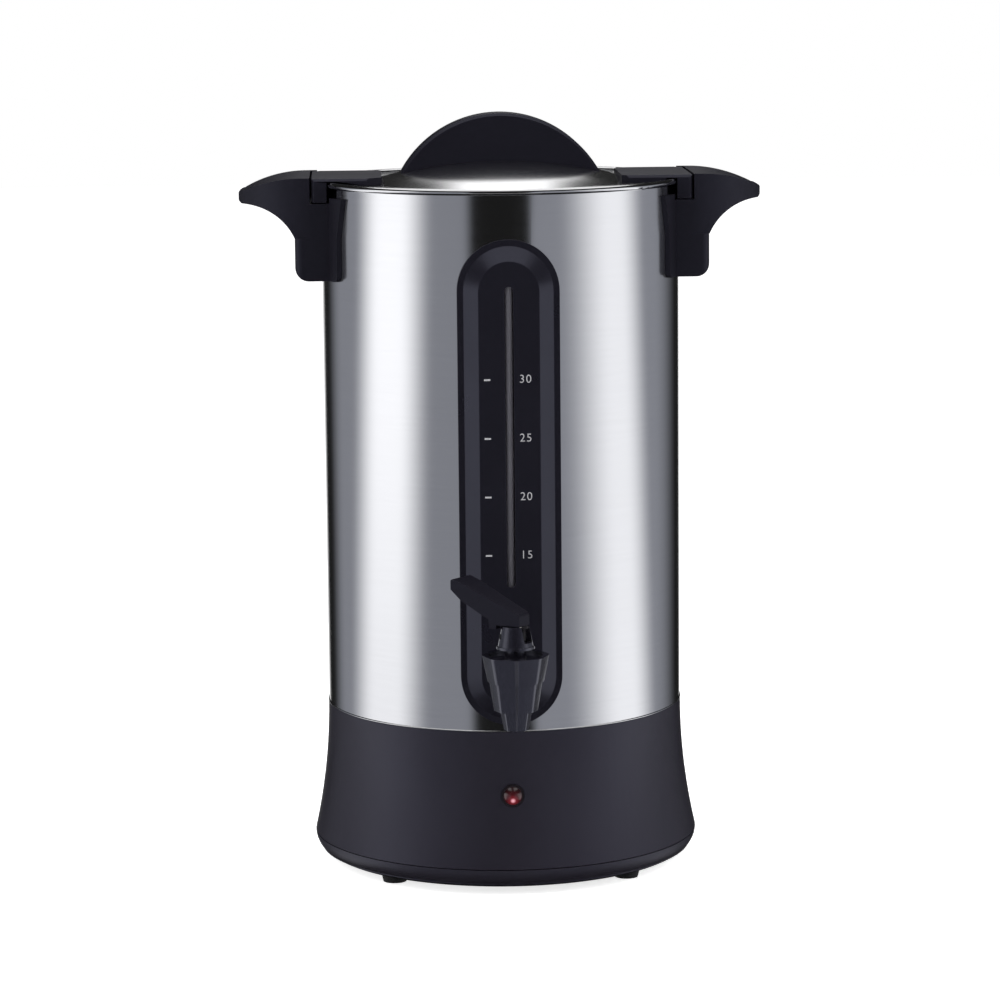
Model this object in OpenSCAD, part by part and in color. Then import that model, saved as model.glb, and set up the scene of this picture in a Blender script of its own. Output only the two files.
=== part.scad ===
// Percolator coffee urn: a steel tank on a flared plastic base, with a lift-off lid, two hook
// handles, a gauge panel with a sight tube and a no-drip tap with a swivelling lever.
// Millimetres, +Z up, z = 0 at the feet, the tap towards -Y. The origin is the middle of the
// urn's footprint, so the tank's own axis stands at y = axis_y.

/* [Tank] */
// Outer radius of the steel tank
tank_r = 105; // [96:1:112]
// Height of the tank from its lower edge to the middle of the rolled rim
tank_h = 309; // [290:1:340]
// Thickness of the tank's steel
tank_wall = 0.8; // [0.6:0.1:1.2]
// Height of the floor above the tank's lower edge
floor_lift = 2.2; // [1.8:0.2:4]
// Radius of the cove between the floor and the wall
cove_r = 7; // [4:0.5:10]
// Radius of the rolled rim
bead_r = 1.9; // [1.6:0.1:2.2]
// Inner radius of the heating well in the middle of the floor
well_r = 22; // [20:1:26]
// Depth of the heating well below the floor
well_depth = 9; // [7:0.5:12]

/* [Base] */
// Height of the base's top edge above the table
base_h = 95.5; // [88:0.5:110]
// How far the base flares out past the tank at its seam
base_flare = 9.2; // [7:0.1:11]
// Height of the seam between the shell and the pan
seam_z = 16.5; // [14.5:0.5:19]
// How far the pan's lower edge is set in from the seam
pan_inset = 7.8; // [6.5:0.1:8.5]
// Thickness of the base's plastic
base_wall = 2.6; // [2.2:0.1:3]
// Width of the gap that shows at the seam
seam_gap = 0.5; // [0.3:0.1:0.8]
// Height of the rubber feet below the pan
foot_h = 5; // [4:0.5:6.5]
// Radius of a foot where it meets the pan
foot_r = 8; // [6:0.5:8.5]
// Distance of the feet from the middle of the base
foot_ring_r = 96; // [88:1:97]
// Distance of the pan's screws from the middle of the base
pan_screw_ring_r = 98; // [92:1:99]
// Height of the shell's screw posts
post_h = 34; // [24:1:44]

/* [Lamp and inlet] */
// Height of the pilot lamp
lamp_z = 58.7; // [50:0.1:70]
// Radius of the pilot lamp's lens
lens_r = 5.2; // [4:0.1:5.4]
// Radius of the pilot lamp's bezel
bezel_r = 6.4; // [6:0.1:7.5]
// Height of the power inlet's middle
inlet_z = 37; // [34:0.5:44]
// Half the width of the inlet's recess
inlet_half_w = 15; // [14:0.5:17]
// Half the height of the inlet's recess
inlet_half_h = 8.5; // [8:0.5:10]
// Depth of the inlet's recess
inlet_depth = 17; // [15:0.5:20]
// Distance between the inlet's two pins
pin_pitch = 14; // [13:0.5:16]
// Radius of an inlet pin
pin_r = 2.2; // [2:0.1:2.4]

/* [Heater] */
// Radius of the heater plate under the well
plate_r = 21; // [18:0.5:22]
// Thickness of the heater plate
plate_t = 3; // [2:0.5:4]
// Radius of the brewing element's tube
element_r = 3.2; // [2.6:0.1:3.6]
// Radius of the brewing element's loop
element_loop_r = 15; // [12:0.5:16]
// Radius of the keep-warm band's middle
warm_loop_r = 52; // [44:1:60]
// Width of the keep-warm band
warm_w = 12; // [8:1:16]
// Radius of the stud that holds the base to the tank
stud_r = 2.5; // [2:0.25:3]

/* [Gauge] */
// Half the width of the gauge panel
panel_half_w = 29; // [27:0.1:31]
// Half the width of the panel's raised face
face_half_w = 17.2; // [15.5:0.1:18.5]
// Width of the panel's flat rim
panel_rim_w = 3.5; // [2.5:0.1:4.5]
// Height of the panel's lower arch centre above the tank's lower edge
panel_low = 33.5; // [31:0.5:36]
// Distance between the panel's arch centres
panel_run = 220; // [200:1:224]
// How far the panel's rim stands out from the tank
rim_out = 2.2; // [1.6:0.1:3]
// How far the panel's face stands out from the tank
face_out = 8.5; // [8:0.1:11]
// Thickness of the panel
panel_wall = 1.8; // [1.4:0.1:2]
// Width of the slot in the panel
slot_w = 4.8; // [4:0.1:5]
// Height of the slot's lower end above the tank's lower edge
slot_low = 85.5; // [80:0.5:92]
// How far the slot reaches above the panel's upper arch centre
slot_over = 3; // [-6:0.5:4]
// Outer radius of the sight tube
tube_r = 2.4; // [2.3:0.05:2.5]
// Inner radius of the sight tube
tube_bore_r = 1.5; // [1.2:0.05:1.7]

/* [Tap] */
// Distance of the tap's axis from the tank's axis
tap_reach = 160; // [156:1:170]
// Height of the tap's shank above the tank's lower edge
shank_lift = 32.5; // [31:0.5:36]
// Corner radius of the tap's cup at its top
cup_r = 19.3; // [18.5:0.1:21]
// Height of the cup's top above the shank's middle
cup_rise = 23.4; // [22.8:0.2:25]
// Corner radius of the cup at its lower step
cup_low_r = 16.2; // [15.6:0.1:17]
// Height of the cup's lower step above the shank's middle
cup_step = 8.5; // [7.5:0.5:9.5]
// Corner radius of the throat below the cup's step
throat_r = 15.4; // [15:0.1:15.8]
// Corner radius of the throat at its lower step
throat_low_r = 12.6; // [12:0.1:13.4]
// Depth of the throat's lower step below the shank's middle
throat_step = 8; // [7.4:0.2:8.6]
// Corner radius of the spout at its top
spout_r = 9.4; // [8.8:0.1:10.4]
// Corner radius of the spout at its outlet
spout_low_r = 7.1; // [6.6:0.1:8]
// Depth of the outlet below the shank's middle
spout_drop = 19; // [18:0.5:21]
// Radius of the spout's bore
outlet_r = 4.4; // [3.8:0.1:4.8]
// Radius of the valve chamber
chamber_r = 9; // [8.4:0.1:9.4]
// Radius of the threaded shank
shank_r = 7; // [6.5:0.1:7.5]
// Radius of the shank's bore
shank_bore_r = 4.2; // [3.6:0.1:4.6]
// Radius of the bonnet's screwed skirt
bonnet_skirt_r = 12; // [11.4:0.1:12.6]
// Radius of the bonnet's neck, which the lever's hub turns on
neck_r = 6; // [5.6:0.1:6.4]
// Radius of the valve stem
stem_r = 2.6; // [2.2:0.1:3]
// How far the stem and its seat cup rise when the lever is pressed
stem_travel = 2.1; // [1.6:0.1:2.6]

/* [Lever] */
// Direction that the lever points in, counter-clockwise from +X
lever_turn = 143.13; // [0:1:360]
// Radius of the hub's foot ring
hub_r = 10.8; // [10:0.1:12]
// Height of the hub
hub_h = 12.7; // [12:0.1:13.5]
// Radius of the hub's cone at its top
hub_top_r = 7.6; // [7.2:0.1:8.4]
// Height of the gap between the cup and the hub
hub_gap = 3.7; // [3:0.1:5]
// Thickness of the lever's tongue
tongue_t = 6.8; // [6:0.1:7.2]
// Distance of the lever's pin from the tap's axis
pin_offset = 5.5; // [5:0.1:5.8]
// Radius of the lever's pin
lever_pin_r = 1.5; // [1.2:0.1:1.7]
// Reach of the lever from the tap's axis
lever_reach = 37.5; // [34:0.5:44]
// Rise of the lever's top from the hub's end to the tip
lever_rise = 16.9; // [12:0.5:20]
// Width of the lever at its tip
lever_tip_w = 18.4; // [14:0.2:22]
// Width of the lever at the hub's end
lever_root_w = 10; // [9:0.2:13]
// Thickness of the lever at its tip
lever_tip_t = 5.8; // [4.5:0.1:7]
// How far the lever's chin reaches down beside the hub
chin_drop = 2.1; // [1:0.1:3]
// Length of the chin along the lever
chin_len = 4.2; // [3:0.1:6]

/* [Handles] */
// Half the depth of a handle, front to back
handle_half_d = 38; // [32:0.5:42]
// Height of a handle's top above the middle of the rim
handle_top = 4.6; // [4.2:0.1:6]
// Height of a handle's block
handle_h = 59.6; // [54:0.2:66]
// How far a handle's block stands out from the tank
block_out = 15.4; // [14:0.1:20]
// How far a handle's tip stands out from the tank
tip_out = 48.8; // [44:0.2:60]
// Radius of the hollow that the fingers hook into
hollow_r = 32; // [30:0.5:33]
// Radius of the handle's rounded tip
nose_r = 4.2; // [3.2:0.1:4.6]
// Radius of the handle's crown
crown_r = 80; // [70:1:110]
// Radius of the curves, seen from above, that lead to the handle's tip
plan_r = 44; // [42:1:60]
// Radius of the handle's outer corners below the hook
block_corner_r = 4.5; // [3:0.5:6]
// Half the width of the mounting flange at its lower edge
flange_half_w = 48; // [44:0.5:54]
// Half the width of the mounting flange at its upper edge
flange_top_half_w = 53.5; // [48:0.5:58]
// Thickness of the mounting flange
flange_t = 2.5; // [2:0.1:3.5]
// Thickness of the handle's walls
handle_wall = 3.2; // [2.6:0.1:4]

/* [Lid] */
// Width of the lid's flat brim round its domed middle
brim_w = 24.6; // [22:0.2:30]
// Height of the dome above the lid's brim
dome_h = 12.3; // [10:0.1:16]
// Thickness of the lid's steel
lid_wall = 0.8; // [0.6:0.1:1.2]
// Depth of the lid's skirt
skirt_h = 8; // [5:0.5:12]
// Radius of the half-moon grip
grip_r = 66.5; // [60:0.5:72]
// Height of the grip's top above the lid's brim
grip_h = 39.8; // [36:0.2:46]
// Thickness of the grip
grip_t = 24; // [18:0.5:28]
// Thickness of the grip's walls
grip_wall = 3; // [2.4:0.1:4]
// Distance between the grip's screws
grip_screw_pitch = 60; // [44:1:70]
// How far a latch reaches from the tank's wall towards the middle of the lid
latch_reach = 35.5; // [31:0.5:38]
// How far a latch reaches down outside the rim
latch_drop = 9.6; // [7:0.2:12]
// Distance between a latch's two screws
latch_screw_pitch = 40; // [30:1:50]

/* [Percolator] */
// Outer radius of the pump tube
pump_r = 5; // [4:0.1:6]
// Thickness of the pump tube
pump_wall = 0.8; // [0.6:0.1:1]
// Radius of the pump's bell foot
bell_r = 20.5; // [18:0.5:21]
// Height of the pump's bell foot
bell_h = 15; // [12:0.5:18]
// Outer radius of the coffee basket
basket_r = 60; // [54:1:72]
// Height of the coffee basket
basket_h = 70; // [60:1:80]
// Depth of the basket's upper edge below the rim
basket_drop = 14; // [12:0.5:20]
// Thickness of the basket's steel
basket_wall = 0.7; // [0.5:0.1:1]
// Radius of the holes in the basket and its cover
basket_hole_r = 1.6; // [1.2:0.1:2]

/* [Fits] */
// Gap between mouldings and the tank they hug
skin_gap = 0.1; // [0.05:0.05:0.2]
// Gap between pieces that come apart
seat_gap = 0.3; // [0.2:0.05:0.5]
// Radial play of pins, shafts and the hub
running_gap = 0.06; // [0.03:0.01:0.1]
// Radial play of screws and grommets in their holes
hole_gap = 0.2; // [0.1:0.05:0.4]

/* [Hidden] */
$fn = 96;
big = 400;

// Tank
tank_in_r = tank_r - tank_wall;
bead_x = tank_in_r + bead_r;
bead_out_r = bead_x + bead_r;
rim_z = base_h + tank_h;
floor_z = base_h + floor_lift;
well_z = floor_z - well_depth;

// Base: the shell's side is a concave arc that is upright at the top, the pan's a convex one
shell_r = tank_r + 0.3;
seam_r = tank_r + base_flare;
shell_dr = seam_r - shell_r;
shell_dz = base_h - seam_z;
flare_r = (shell_dz * shell_dz + shell_dr * shell_dr) / (2 * shell_dr);
pan_dz = seam_z - foot_h;
pan_r = (pan_dz * pan_dz + pan_inset * pan_inset) / (2 * pan_inset);
pan_floor_z = foot_h + base_wall;
post_r = 5;
post_low_z = pan_floor_z + 4;
post_top_z = post_low_z + post_h;
lip_top_z = seam_z + 4;
screw_r = 1.6;
pan_screw_turns = [30, 150, 270];

// Outer radius of the base shell at height z
function shell_r_at(z) = shell_r + flare_r - sqrt(flare_r * flare_r - pow(base_h - z, 2));

// Lamp and inlet
lamp_seat_y = shell_r_at(lamp_z) - 1;
lamp_barrel_r = lens_r + 0.9;
lamp_depth = 15;
bezel_rise = 1.6;
inlet_wall = 2;
inlet_flange = 4;
inlet_seat_y = shell_r_at(inlet_z + inlet_half_h + inlet_flange) - 2;
inlet_face_y = shell_r_at(inlet_z - inlet_half_h) + 0.8;
inlet_back_y = inlet_face_y - inlet_depth - inlet_wall;
inlet_screw_x = inlet_half_w + inlet_flange + 2.5;

// Heater
well_under_z = well_z - tank_wall;
plate_low_z = well_under_z - plate_t;
warm_t = 3;
sensor_ring_r = (warm_loop_r + tank_r) / 2;
warm_z = floor_z - tank_wall - warm_t;
element_sink = 1;
element_turns = [-60, 240];
element_z = plate_low_z - element_r + element_sink;
saddle_t = 1.6;
saddle_top_z = element_z - element_r;
saddle_leg_x = element_loop_r + element_r + 0.4;
stud_low_z = foot_h + 2;
nut_h = 4;
nut_r = 4.6;
nut_z = pan_floor_z + 1;

// Gauge
panel_low_z = base_h + panel_low;
panel_top_z = panel_low_z + panel_run;
slot_low_z = base_h + slot_low;
slot_top_z = panel_top_z + slot_over;
slot_run = slot_top_z - slot_low_z;
rim_y = tank_r + rim_out;
face_y = tank_r + face_out;
bevel_half_w = panel_half_w - panel_rim_w;
tube_y = face_y - panel_wall - 0.4 - tube_r - 0.7;
elbow_r = tube_r + 0.7;
port_r = 2.6;
port_low_z = slot_low_z - 12;
port_top_z = slot_top_z + 8;
panel_post_r = 4;
panel_screw_x = 11;
panel_screw_z = panel_top_z - 20;

// Tap, in its own frame: the tap's axis at x = y = 0
tap_z = base_h + shank_lift;
cup_top_z = tap_z + cup_rise;
cup_step_z = tap_z + cup_step;
throat_step_z = tap_z - throat_step;
outlet_z = tap_z - spout_drop;
corner_share = 0.97;
seat_z = throat_step_z + 1.6;
lip_h = 1;
bonnet_recess = 2;
bonnet_flange_t = 3;
bonnet_top_z = cup_top_z - bonnet_recess + 0.6;
bonnet_low_z = bonnet_top_z - bonnet_flange_t - 8;
bonnet_seat_z = bonnet_top_z - bonnet_flange_t;
bonnet_roof_z = bonnet_seat_z - 1.5;
collar_r = shank_r + 4.5;
gasket_t = 1.5;
collar_y = tap_reach - face_y - gasket_t;
collar_t = 5;
nut_gasket_t = 2;
tap_nut_t = 6;
tap_nut_r = 13;
shank_end_y = tap_reach - tank_in_r + nut_gasket_t + tap_nut_t + 3;

// Lever, in the tap's frame turned so that the lever points to +X
hub_z = cup_top_z + hub_gap;
hub_top_z = hub_z + hub_h;
hub_ring_h = 1.5;
neck_top_z = hub_z + 3.6;
bead_h = 1;
bead_out = 0.5;
neck_bead_z = hub_z + 1.6;
tongue_slot_w = tongue_t + 2 * seat_gap;
tongue_slot_z = neck_top_z + 0.2;
lever_pin_z = hub_top_z - 5.7;
stem_neck_r = 1.5;
stem_head_r = 3.3;
stem_head_z = lever_pin_z + 3.2;
stem_head_h = 2;
stem_neck_z = neck_top_z - 1.2;
prong_r = 1.5;
prong_z = stem_head_z - seat_gap - prong_r;
prong_slot_w = 2 * stem_neck_r + 0.6;
lever_root_x = -6;
lever_seat_z = hub_top_z + seat_gap;
lever_root_top_z = lever_seat_z + 6.9;

// Valve
cup_seal_r = 7.2;
cup_seal_z = seat_z + lip_h + 0.2;
cup_seal_h = 5;
stem_foot_z = cup_seal_z + 2;
stem_flange_z = cup_seal_z + cup_seal_h;
stem_flange_t = 1.5;
spring_wire_r = 0.6;
spring_r = 5.2;
spring_turns = 4;
spring_low_z = stem_flange_z + stem_flange_t;
spring_top_z = bonnet_roof_z - 0.1;

// Handles
handle_top_z = rim_z + handle_top;
block_low_z = handle_top_z - handle_h;
block_x = tank_r + block_out;
tip_x = tank_r + tip_out;
corner_r = 8;
crown_x = tank_r + 10;
nose_x = tip_x - nose_r;
nose_z = handle_top_z - crown_r + sqrt(crown_r * crown_r - pow(nose_x - crown_x, 2)) - nose_r;
hollow_z = nose_z - nose_r + 0.4 - hollow_r;
hook_root_z = hollow_z + sqrt(hollow_r * hollow_r - pow(nose_x - block_x, 2));
flange_top_z = rim_z - bead_r - 5;
flange_knee_z = flange_top_z - 23;
latch_gap = 1;
stop_t = 2.5;
stop_w = 4;
latch_x = bead_out_r + seat_gap + 2.1;
pocket_x = latch_x + latch_gap;
latch_low_z = rim_z - latch_drop;
pocket_z = latch_low_z - 0.6;
handle_screw_zs = [rim_z - 20, rim_z - 44];
handle_screw_r = 2;
handle_boss_r = 5.5;
washer_t = 1;

// Lid
brim_play = 1.6;
brim_z = rim_z - 0.3;
brim_r = tank_in_r - brim_play;
dome_edge_r = brim_r - brim_w;
dome_r = (dome_edge_r * dome_edge_r + dome_h * dome_h) / (2 * dome_h);
dome_z = brim_z + dome_h - dome_r;
latch_top_z = rim_z + bead_r + seat_gap + 2;
grip_top_z = brim_z + grip_h;
grip_z = grip_top_z - grip_r;
grip_soft = 1.5;
grip_screw_run = grip_h * 0.3;
latch_inner_x = tank_r - latch_reach;
latch_screw_x = brim_r - brim_w / 2;

// Percolator
bell_z = well_z + seat_gap;
bell_wall = 1;
pump_top_z = rim_z - 4;
basket_z = rim_z - basket_drop - basket_h;
collar_h = 3;
basket_sleeve_r = pump_r + running_gap;
cover_lip = 3;
cover_z = basket_z + basket_h + seat_gap;

// The origin is the middle of the footprint: from the tap's cup to the back of the seam
axis_y = round((tap_reach + corner_share * cup_r - seam_r) / 2);

module on_axis() {
    translate([0, axis_y, 0]) children();
}

module on_tap() {
    translate([0, axis_y - tap_reach, 0]) children();
}

module on_lever() {
    on_tap() rotate([0, 0, lever_turn]) children();
}

// A cylinder that lies along Y, from y_from in the direction of -Y to y_to
module rod_y(r, y_from, y_to) {
    translate([0, -y_from, 0]) rotate([90, 0, 0]) cylinder(r = r, h = y_to - y_from);
}

// A cylinder that lies along +X
module rod_x(r, x_from, x_to) {
    translate([x_from, 0, 0]) rotate([0, 90, 0]) cylinder(r = r, h = x_to - x_from);
}

module ring(r_out, r_in, z_from, z_to) {
    translate([0, 0, z_from]) difference() {
        cylinder(r = r_out, h = z_to - z_from);
        translate([0, 0, -1]) cylinder(r = r_in, h = z_to - z_from + 2);
    }
}

// ---- Tank ----

module tank_section() {
    difference() {
        union() {
            translate([tank_r - 2 * cove_r, base_h]) square([2 * cove_r, tank_h]);
            translate([well_r, floor_z - tank_wall]) square([tank_r - well_r, tank_wall + 1]);
        }
        // the inside, with a cove between the floor and the wall
        translate([0, floor_z]) square([tank_in_r - cove_r, tank_h]);
        translate([0, floor_z + cove_r]) square([tank_in_r, tank_h]);
        translate([tank_in_r - cove_r, floor_z + cove_r]) circle(cove_r);
        translate([0, 0]) square([tank_in_r, floor_z - tank_wall]);
    }
    translate([well_r, well_z - tank_wall]) square([tank_wall, well_depth + tank_wall]);
    translate([0, well_z - tank_wall]) square([well_r + tank_wall, tank_wall]);
    // the wall is rolled outwards and down into an open bead
    difference() {
        translate([bead_x, rim_z]) circle(bead_r, $fn = 48);
        translate([bead_x, rim_z]) circle(bead_r - tank_wall, $fn = 48);
        translate([tank_r, rim_z - bead_r - 0.1]) square([bead_r - tank_wall + 0.3, bead_r - 0.2]);
    }
}

module tank() {
    color("gainsboro") on_axis() difference() {
        rotate_extrude() tank_section();
        translate([0, 0, tap_z]) rod_y(shank_r + hole_gap, tank_r - 10, tank_r + 10);
        for (z = [port_low_z, port_top_z])
            translate([0, 0, z]) rod_y(port_r + hole_gap, tank_r - 10, tank_r + 10);
        for (x = [-panel_screw_x, panel_screw_x])
            translate([x, 0, panel_screw_z]) rod_y(screw_r + hole_gap, tank_r - 10, tank_r + 10);
        for (side = [0, 180], z = handle_screw_zs)
            rotate([0, 0, side]) translate([0, 0, z])
                rod_x(handle_screw_r + hole_gap, tank_r - 10, tank_r + 10);
    }
}

// ---- Base ----

module shell_section() {
    intersection() {
        translate([seam_r - 30, seam_z + seam_gap / 2])
            square([30, base_h - seam_z - seam_gap / 2]);
        translate([shell_r + flare_r, base_h]) difference() {
            circle(flare_r + base_wall, $fn = 480);
            circle(flare_r, $fn = 480);
        }
    }
    // the ledge that carries the tank's lower edge
    translate([shell_r - 9, base_h - base_wall]) square([8, base_wall]);
}

module shell_post(turn) {
    web_t = 2.2;
    rotate([0, 0, turn]) {
        translate([pan_screw_ring_r, 0, post_low_z]) cylinder(r = post_r, h = post_h);
        intersection() {
            translate([pan_screw_ring_r, -web_t / 2, lip_top_z + 3])
                cube([20, web_t, post_top_z - lip_top_z - 3]);
            rotate_extrude() translate([0, seam_z]) difference() {
                square([seam_r, base_h - seam_z]);
                translate([shell_r + flare_r, base_h - seam_z])
                    circle(flare_r + base_wall / 2, $fn = 480);
            }
        }
    }
}

module base_shell() {
    color("#33333a") on_axis() difference() {
        union() {
            rotate_extrude() shell_section();
            for (turn = pan_screw_turns) shell_post(turn);
        }
        for (turn = pan_screw_turns) rotate([0, 0, turn])
            translate([pan_screw_ring_r, 0, post_low_z - 1]) cylinder(r = screw_r, h = 20);
        translate([0, 0, lamp_z]) {
            rod_y(lamp_barrel_r + hole_gap, lamp_seat_y - 8, lamp_seat_y + 8);
            rod_y(bezel_r + hole_gap, lamp_seat_y, lamp_seat_y + 8);
        }
        translate([0, 0, inlet_z]) {
            inlet_block(inlet_half_w + inlet_wall + hole_gap, inlet_half_h + inlet_wall + hole_gap,
                inlet_seat_y - 8, inlet_seat_y + 8);
            inlet_block(inlet_screw_x + 4 + hole_gap, inlet_half_h + inlet_flange + hole_gap,
                inlet_seat_y, inlet_seat_y + 12);
            for (side = [-1, 1]) translate([side * inlet_screw_x, 0, 0])
                rod_y(screw_r, -inlet_seat_y - 5, -inlet_seat_y + 8);
        }
    }
}

module pan_section() {
    centre_x = seam_r - pan_r;
    intersection() {
        translate([0, foot_h]) square([seam_r, pan_dz - seam_gap / 2]);
        difference() {
            union() {
                translate([0, foot_h]) square([centre_x, pan_dz]);
                translate([centre_x, seam_z]) circle(pan_r);
            }
            translate([0, pan_floor_z]) square([centre_x, pan_dz]);
            intersection() {
                translate([centre_x, seam_z]) circle(pan_r - base_wall);
                translate([centre_x - 0.1, pan_floor_z]) square([pan_r, pan_dz]);
            }
        }
    }
    // the lip that locates the shell
    lip_r = shell_r_at(lip_top_z) - base_wall - seat_gap;
    translate([lip_r - 1.8, pan_floor_z - 0.5]) square([1.8, lip_top_z - pan_floor_z + 0.5]);
}

module base_pan() {
    slot_count = 12;
    color("#33333a") on_axis() difference() {
        union() {
            rotate_extrude() pan_section();
            translate([0, 0, foot_h]) cylinder(r = 13, h = nut_z + nut_h + 3 - foot_h);
            for (turn = pan_screw_turns) rotate([0, 0, turn])
                translate([pan_screw_ring_r, 0, foot_h]) cylinder(r = post_r, h = post_low_z - foot_h);
        }
        translate([0, 0, -1]) cylinder(r = stud_r + hole_gap, h = 40);
        translate([0, 0, -1]) cylinder(r = 8.5, h = nut_z + nut_h + 1);
        for (turn = pan_screw_turns) rotate([0, 0, turn]) translate([pan_screw_ring_r, 0, 0]) {
            cylinder(r = screw_r + hole_gap, h = 40);
            cylinder(r = 3.4 + hole_gap, h = post_low_z - 3);
        }
        for (i = [0:3]) rotate([0, 0, 45 + 90 * i]) translate([foot_ring_r, 0, 0])
            cylinder(r = 3, h = 40);
        // vents that let warm air rise through the base
        for (i = [0:slot_count - 1]) rotate([0, 0, 360 / slot_count * (i + 0.5)])
            translate([34, -1.8, 0]) cube([26, 3.6, 40]);
    }
}

module pan_screws() {
    color("silver") on_axis() for (turn = pan_screw_turns)
        rotate([0, 0, turn]) translate([pan_screw_ring_r, 0, 0]) {
            head_z = post_low_z - 3;
            translate([0, 0, head_z - 2.2]) difference() {
                cylinder(r = 3.4, h = 2.2);
                translate([-0.5, -2.4, -0.1]) cube([1, 4.8, 1.1]);
                translate([-2.4, -0.5, -0.1]) cube([4.8, 1, 1.1]);
            }
            translate([0, 0, head_z - 0.1]) cylinder(r = screw_r - 0.05, h = 16);
        }
}

module feet() {
    color("#1c1c1e") on_axis() for (i = [0:3])
        rotate([0, 0, 45 + 90 * i]) translate([foot_ring_r, 0, 0]) {
            cylinder(r1 = foot_r - 1.2, r2 = foot_r, h = foot_h);
            cylinder(r = 3 - running_gap, h = pan_floor_z + 1);
            translate([0, 0, pan_floor_z]) cylinder(r1 = 4.2, r2 = 2.6, h = 2.4);
        }
}

module base_stud() {
    leg_h = plate_low_z - saddle_top_z;
    strap_w = 2 * stud_r + 5;
    color("silver") on_axis() {
        translate([0, 0, stud_low_z]) cylinder(r = stud_r, h = saddle_top_z - stud_low_z);
        // the strap that the stud is welded to clamps the brewing element to the plate
        translate([-saddle_leg_x - saddle_t, -strap_w / 2, saddle_top_z - saddle_t])
            cube([2 * (saddle_leg_x + saddle_t), strap_w, saddle_t]);
        for (side = [-1, 1])
            translate([side * (saddle_leg_x + saddle_t / 2) - saddle_t / 2, -strap_w / 2, saddle_top_z - 0.1])
                cube([saddle_t, strap_w, leg_h + 0.1]);
    }
}

module base_nut() {
    color("silver") on_axis() translate([0, 0, nut_z]) difference() {
        union() {
            cylinder(r = nut_r, h = nut_h, $fn = 6);
            translate([0, 0, nut_h - 1]) cylinder(r = 7.5, h = 1);
        }
        translate([0, 0, -1]) cylinder(r = stud_r + 0.05, h = nut_h + 2);
    }
}

// ---- Pilot lamp and power inlet ----

module pilot_lens() {
    dome_rise = 2.6;
    ball_r = (lens_r * lens_r + dome_rise * dome_rise) / (2 * dome_rise);
    color("#c01818") on_axis() translate([0, 0, lamp_z]) intersection() {
        rod_y(lens_r, lamp_seat_y - 8, lamp_seat_y + bezel_rise + dome_rise + 1);
        union() {
            rod_y(lens_r + 1, lamp_seat_y - 9, lamp_seat_y);
            translate([0, ball_r - lamp_seat_y - bezel_rise - dome_rise, 0]) sphere(ball_r);
        }
    }
}

module pilot_body() {
    color("#1c1c1e") on_axis() translate([0, 0, lamp_z]) difference() {
        union() {
            rod_y(lamp_barrel_r, lamp_seat_y - lamp_depth, lamp_seat_y + 1);
            rod_y(bezel_r, lamp_seat_y, lamp_seat_y + bezel_rise);
            // the push-on ring that grips the barrel behind the shell
            rod_y(bezel_r + 1.6, lamp_seat_y - base_wall - 2.2, lamp_seat_y - base_wall);
        }
        rod_y(lens_r + 0.05, lamp_seat_y - 8.05, lamp_seat_y + 9);
    }
}

module inlet_block(half_w, half_h, y_from, y_to) {
    translate([-half_w, y_from, -half_h]) cube([2 * half_w, y_to - y_from, 2 * half_h]);
}

module power_inlet() {
    flange_w = inlet_screw_x + 4;
    color("#1c1c1e") on_axis() translate([0, 0, inlet_z]) difference() {
        union() {
            inlet_block(inlet_half_w + inlet_wall, inlet_half_h + inlet_wall,
                inlet_back_y, inlet_face_y);
            inlet_block(flange_w, inlet_half_h + inlet_flange, inlet_seat_y, inlet_face_y - 1);
        }
        difference() {
            inlet_block(inlet_half_w, inlet_half_h, inlet_back_y + inlet_wall, inlet_face_y + 1);
            // corner blocks that let only its own plug in
            for (side = [-1, 1])
                translate([side * (inlet_half_w + 1), 0, -inlet_half_h - 1]) rotate([0, 45, 0])
                    inlet_block(3.4, 3.4, inlet_back_y, inlet_face_y + 2);
        }
        for (side = [-1, 1]) {
            translate([side * pin_pitch / 2, 0, 0])
                rod_y(pin_r + 0.05, -inlet_back_y - 5, -inlet_back_y + 5);
            translate([side * inlet_screw_x, 0, 0])
                rod_y(screw_r + hole_gap, -inlet_face_y - 5, -inlet_seat_y + 5);
            translate([side * inlet_screw_x, 0, 0])
                rod_y(3.2, -inlet_face_y - 5, -inlet_face_y + 2.6);
        }
    }
}

module inlet_pins() {
    color("#c8a24a") on_axis() translate([0, 0, inlet_z]) for (side = [-1, 1])
        translate([side * pin_pitch / 2, 0, 0]) {
            rod_y(pin_r, -inlet_back_y - inlet_depth + 2, -inlet_back_y + 3);
            translate([0, inlet_back_y + inlet_depth - 2, 0]) sphere(pin_r);
            translate([-0.4, inlet_back_y - 10, -2.4]) cube([0.8, 7.5, 4.8]);
        }
}

module inlet_screws() {
    color("silver") on_axis() translate([0, 0, inlet_z]) for (side = [-1, 1])
        translate([side * inlet_screw_x, 0, 0]) difference() {
            union() {
                rod_y(2.9, -inlet_face_y + 1.2, -inlet_face_y + 2.6);
                rod_y(screw_r - 0.05, -inlet_face_y + 2.5, -inlet_seat_y + 7);
            }
            translate([-2.2, inlet_face_y - 2, -0.45]) cube([4.4, 1, 0.9]);
        }
}

// ---- Heating parts in the base ----

module heater_plate() {
    color("#a8a8a8") on_axis() translate([0, 0, plate_low_z]) difference() {
        cylinder(r = plate_r, h = plate_t);
        // the groove that the element lies in
        translate([0, 0, element_z - plate_low_z]) rotate_extrude()
            translate([element_loop_r, 0]) circle(element_r, $fn = 32);
    }
}

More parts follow.
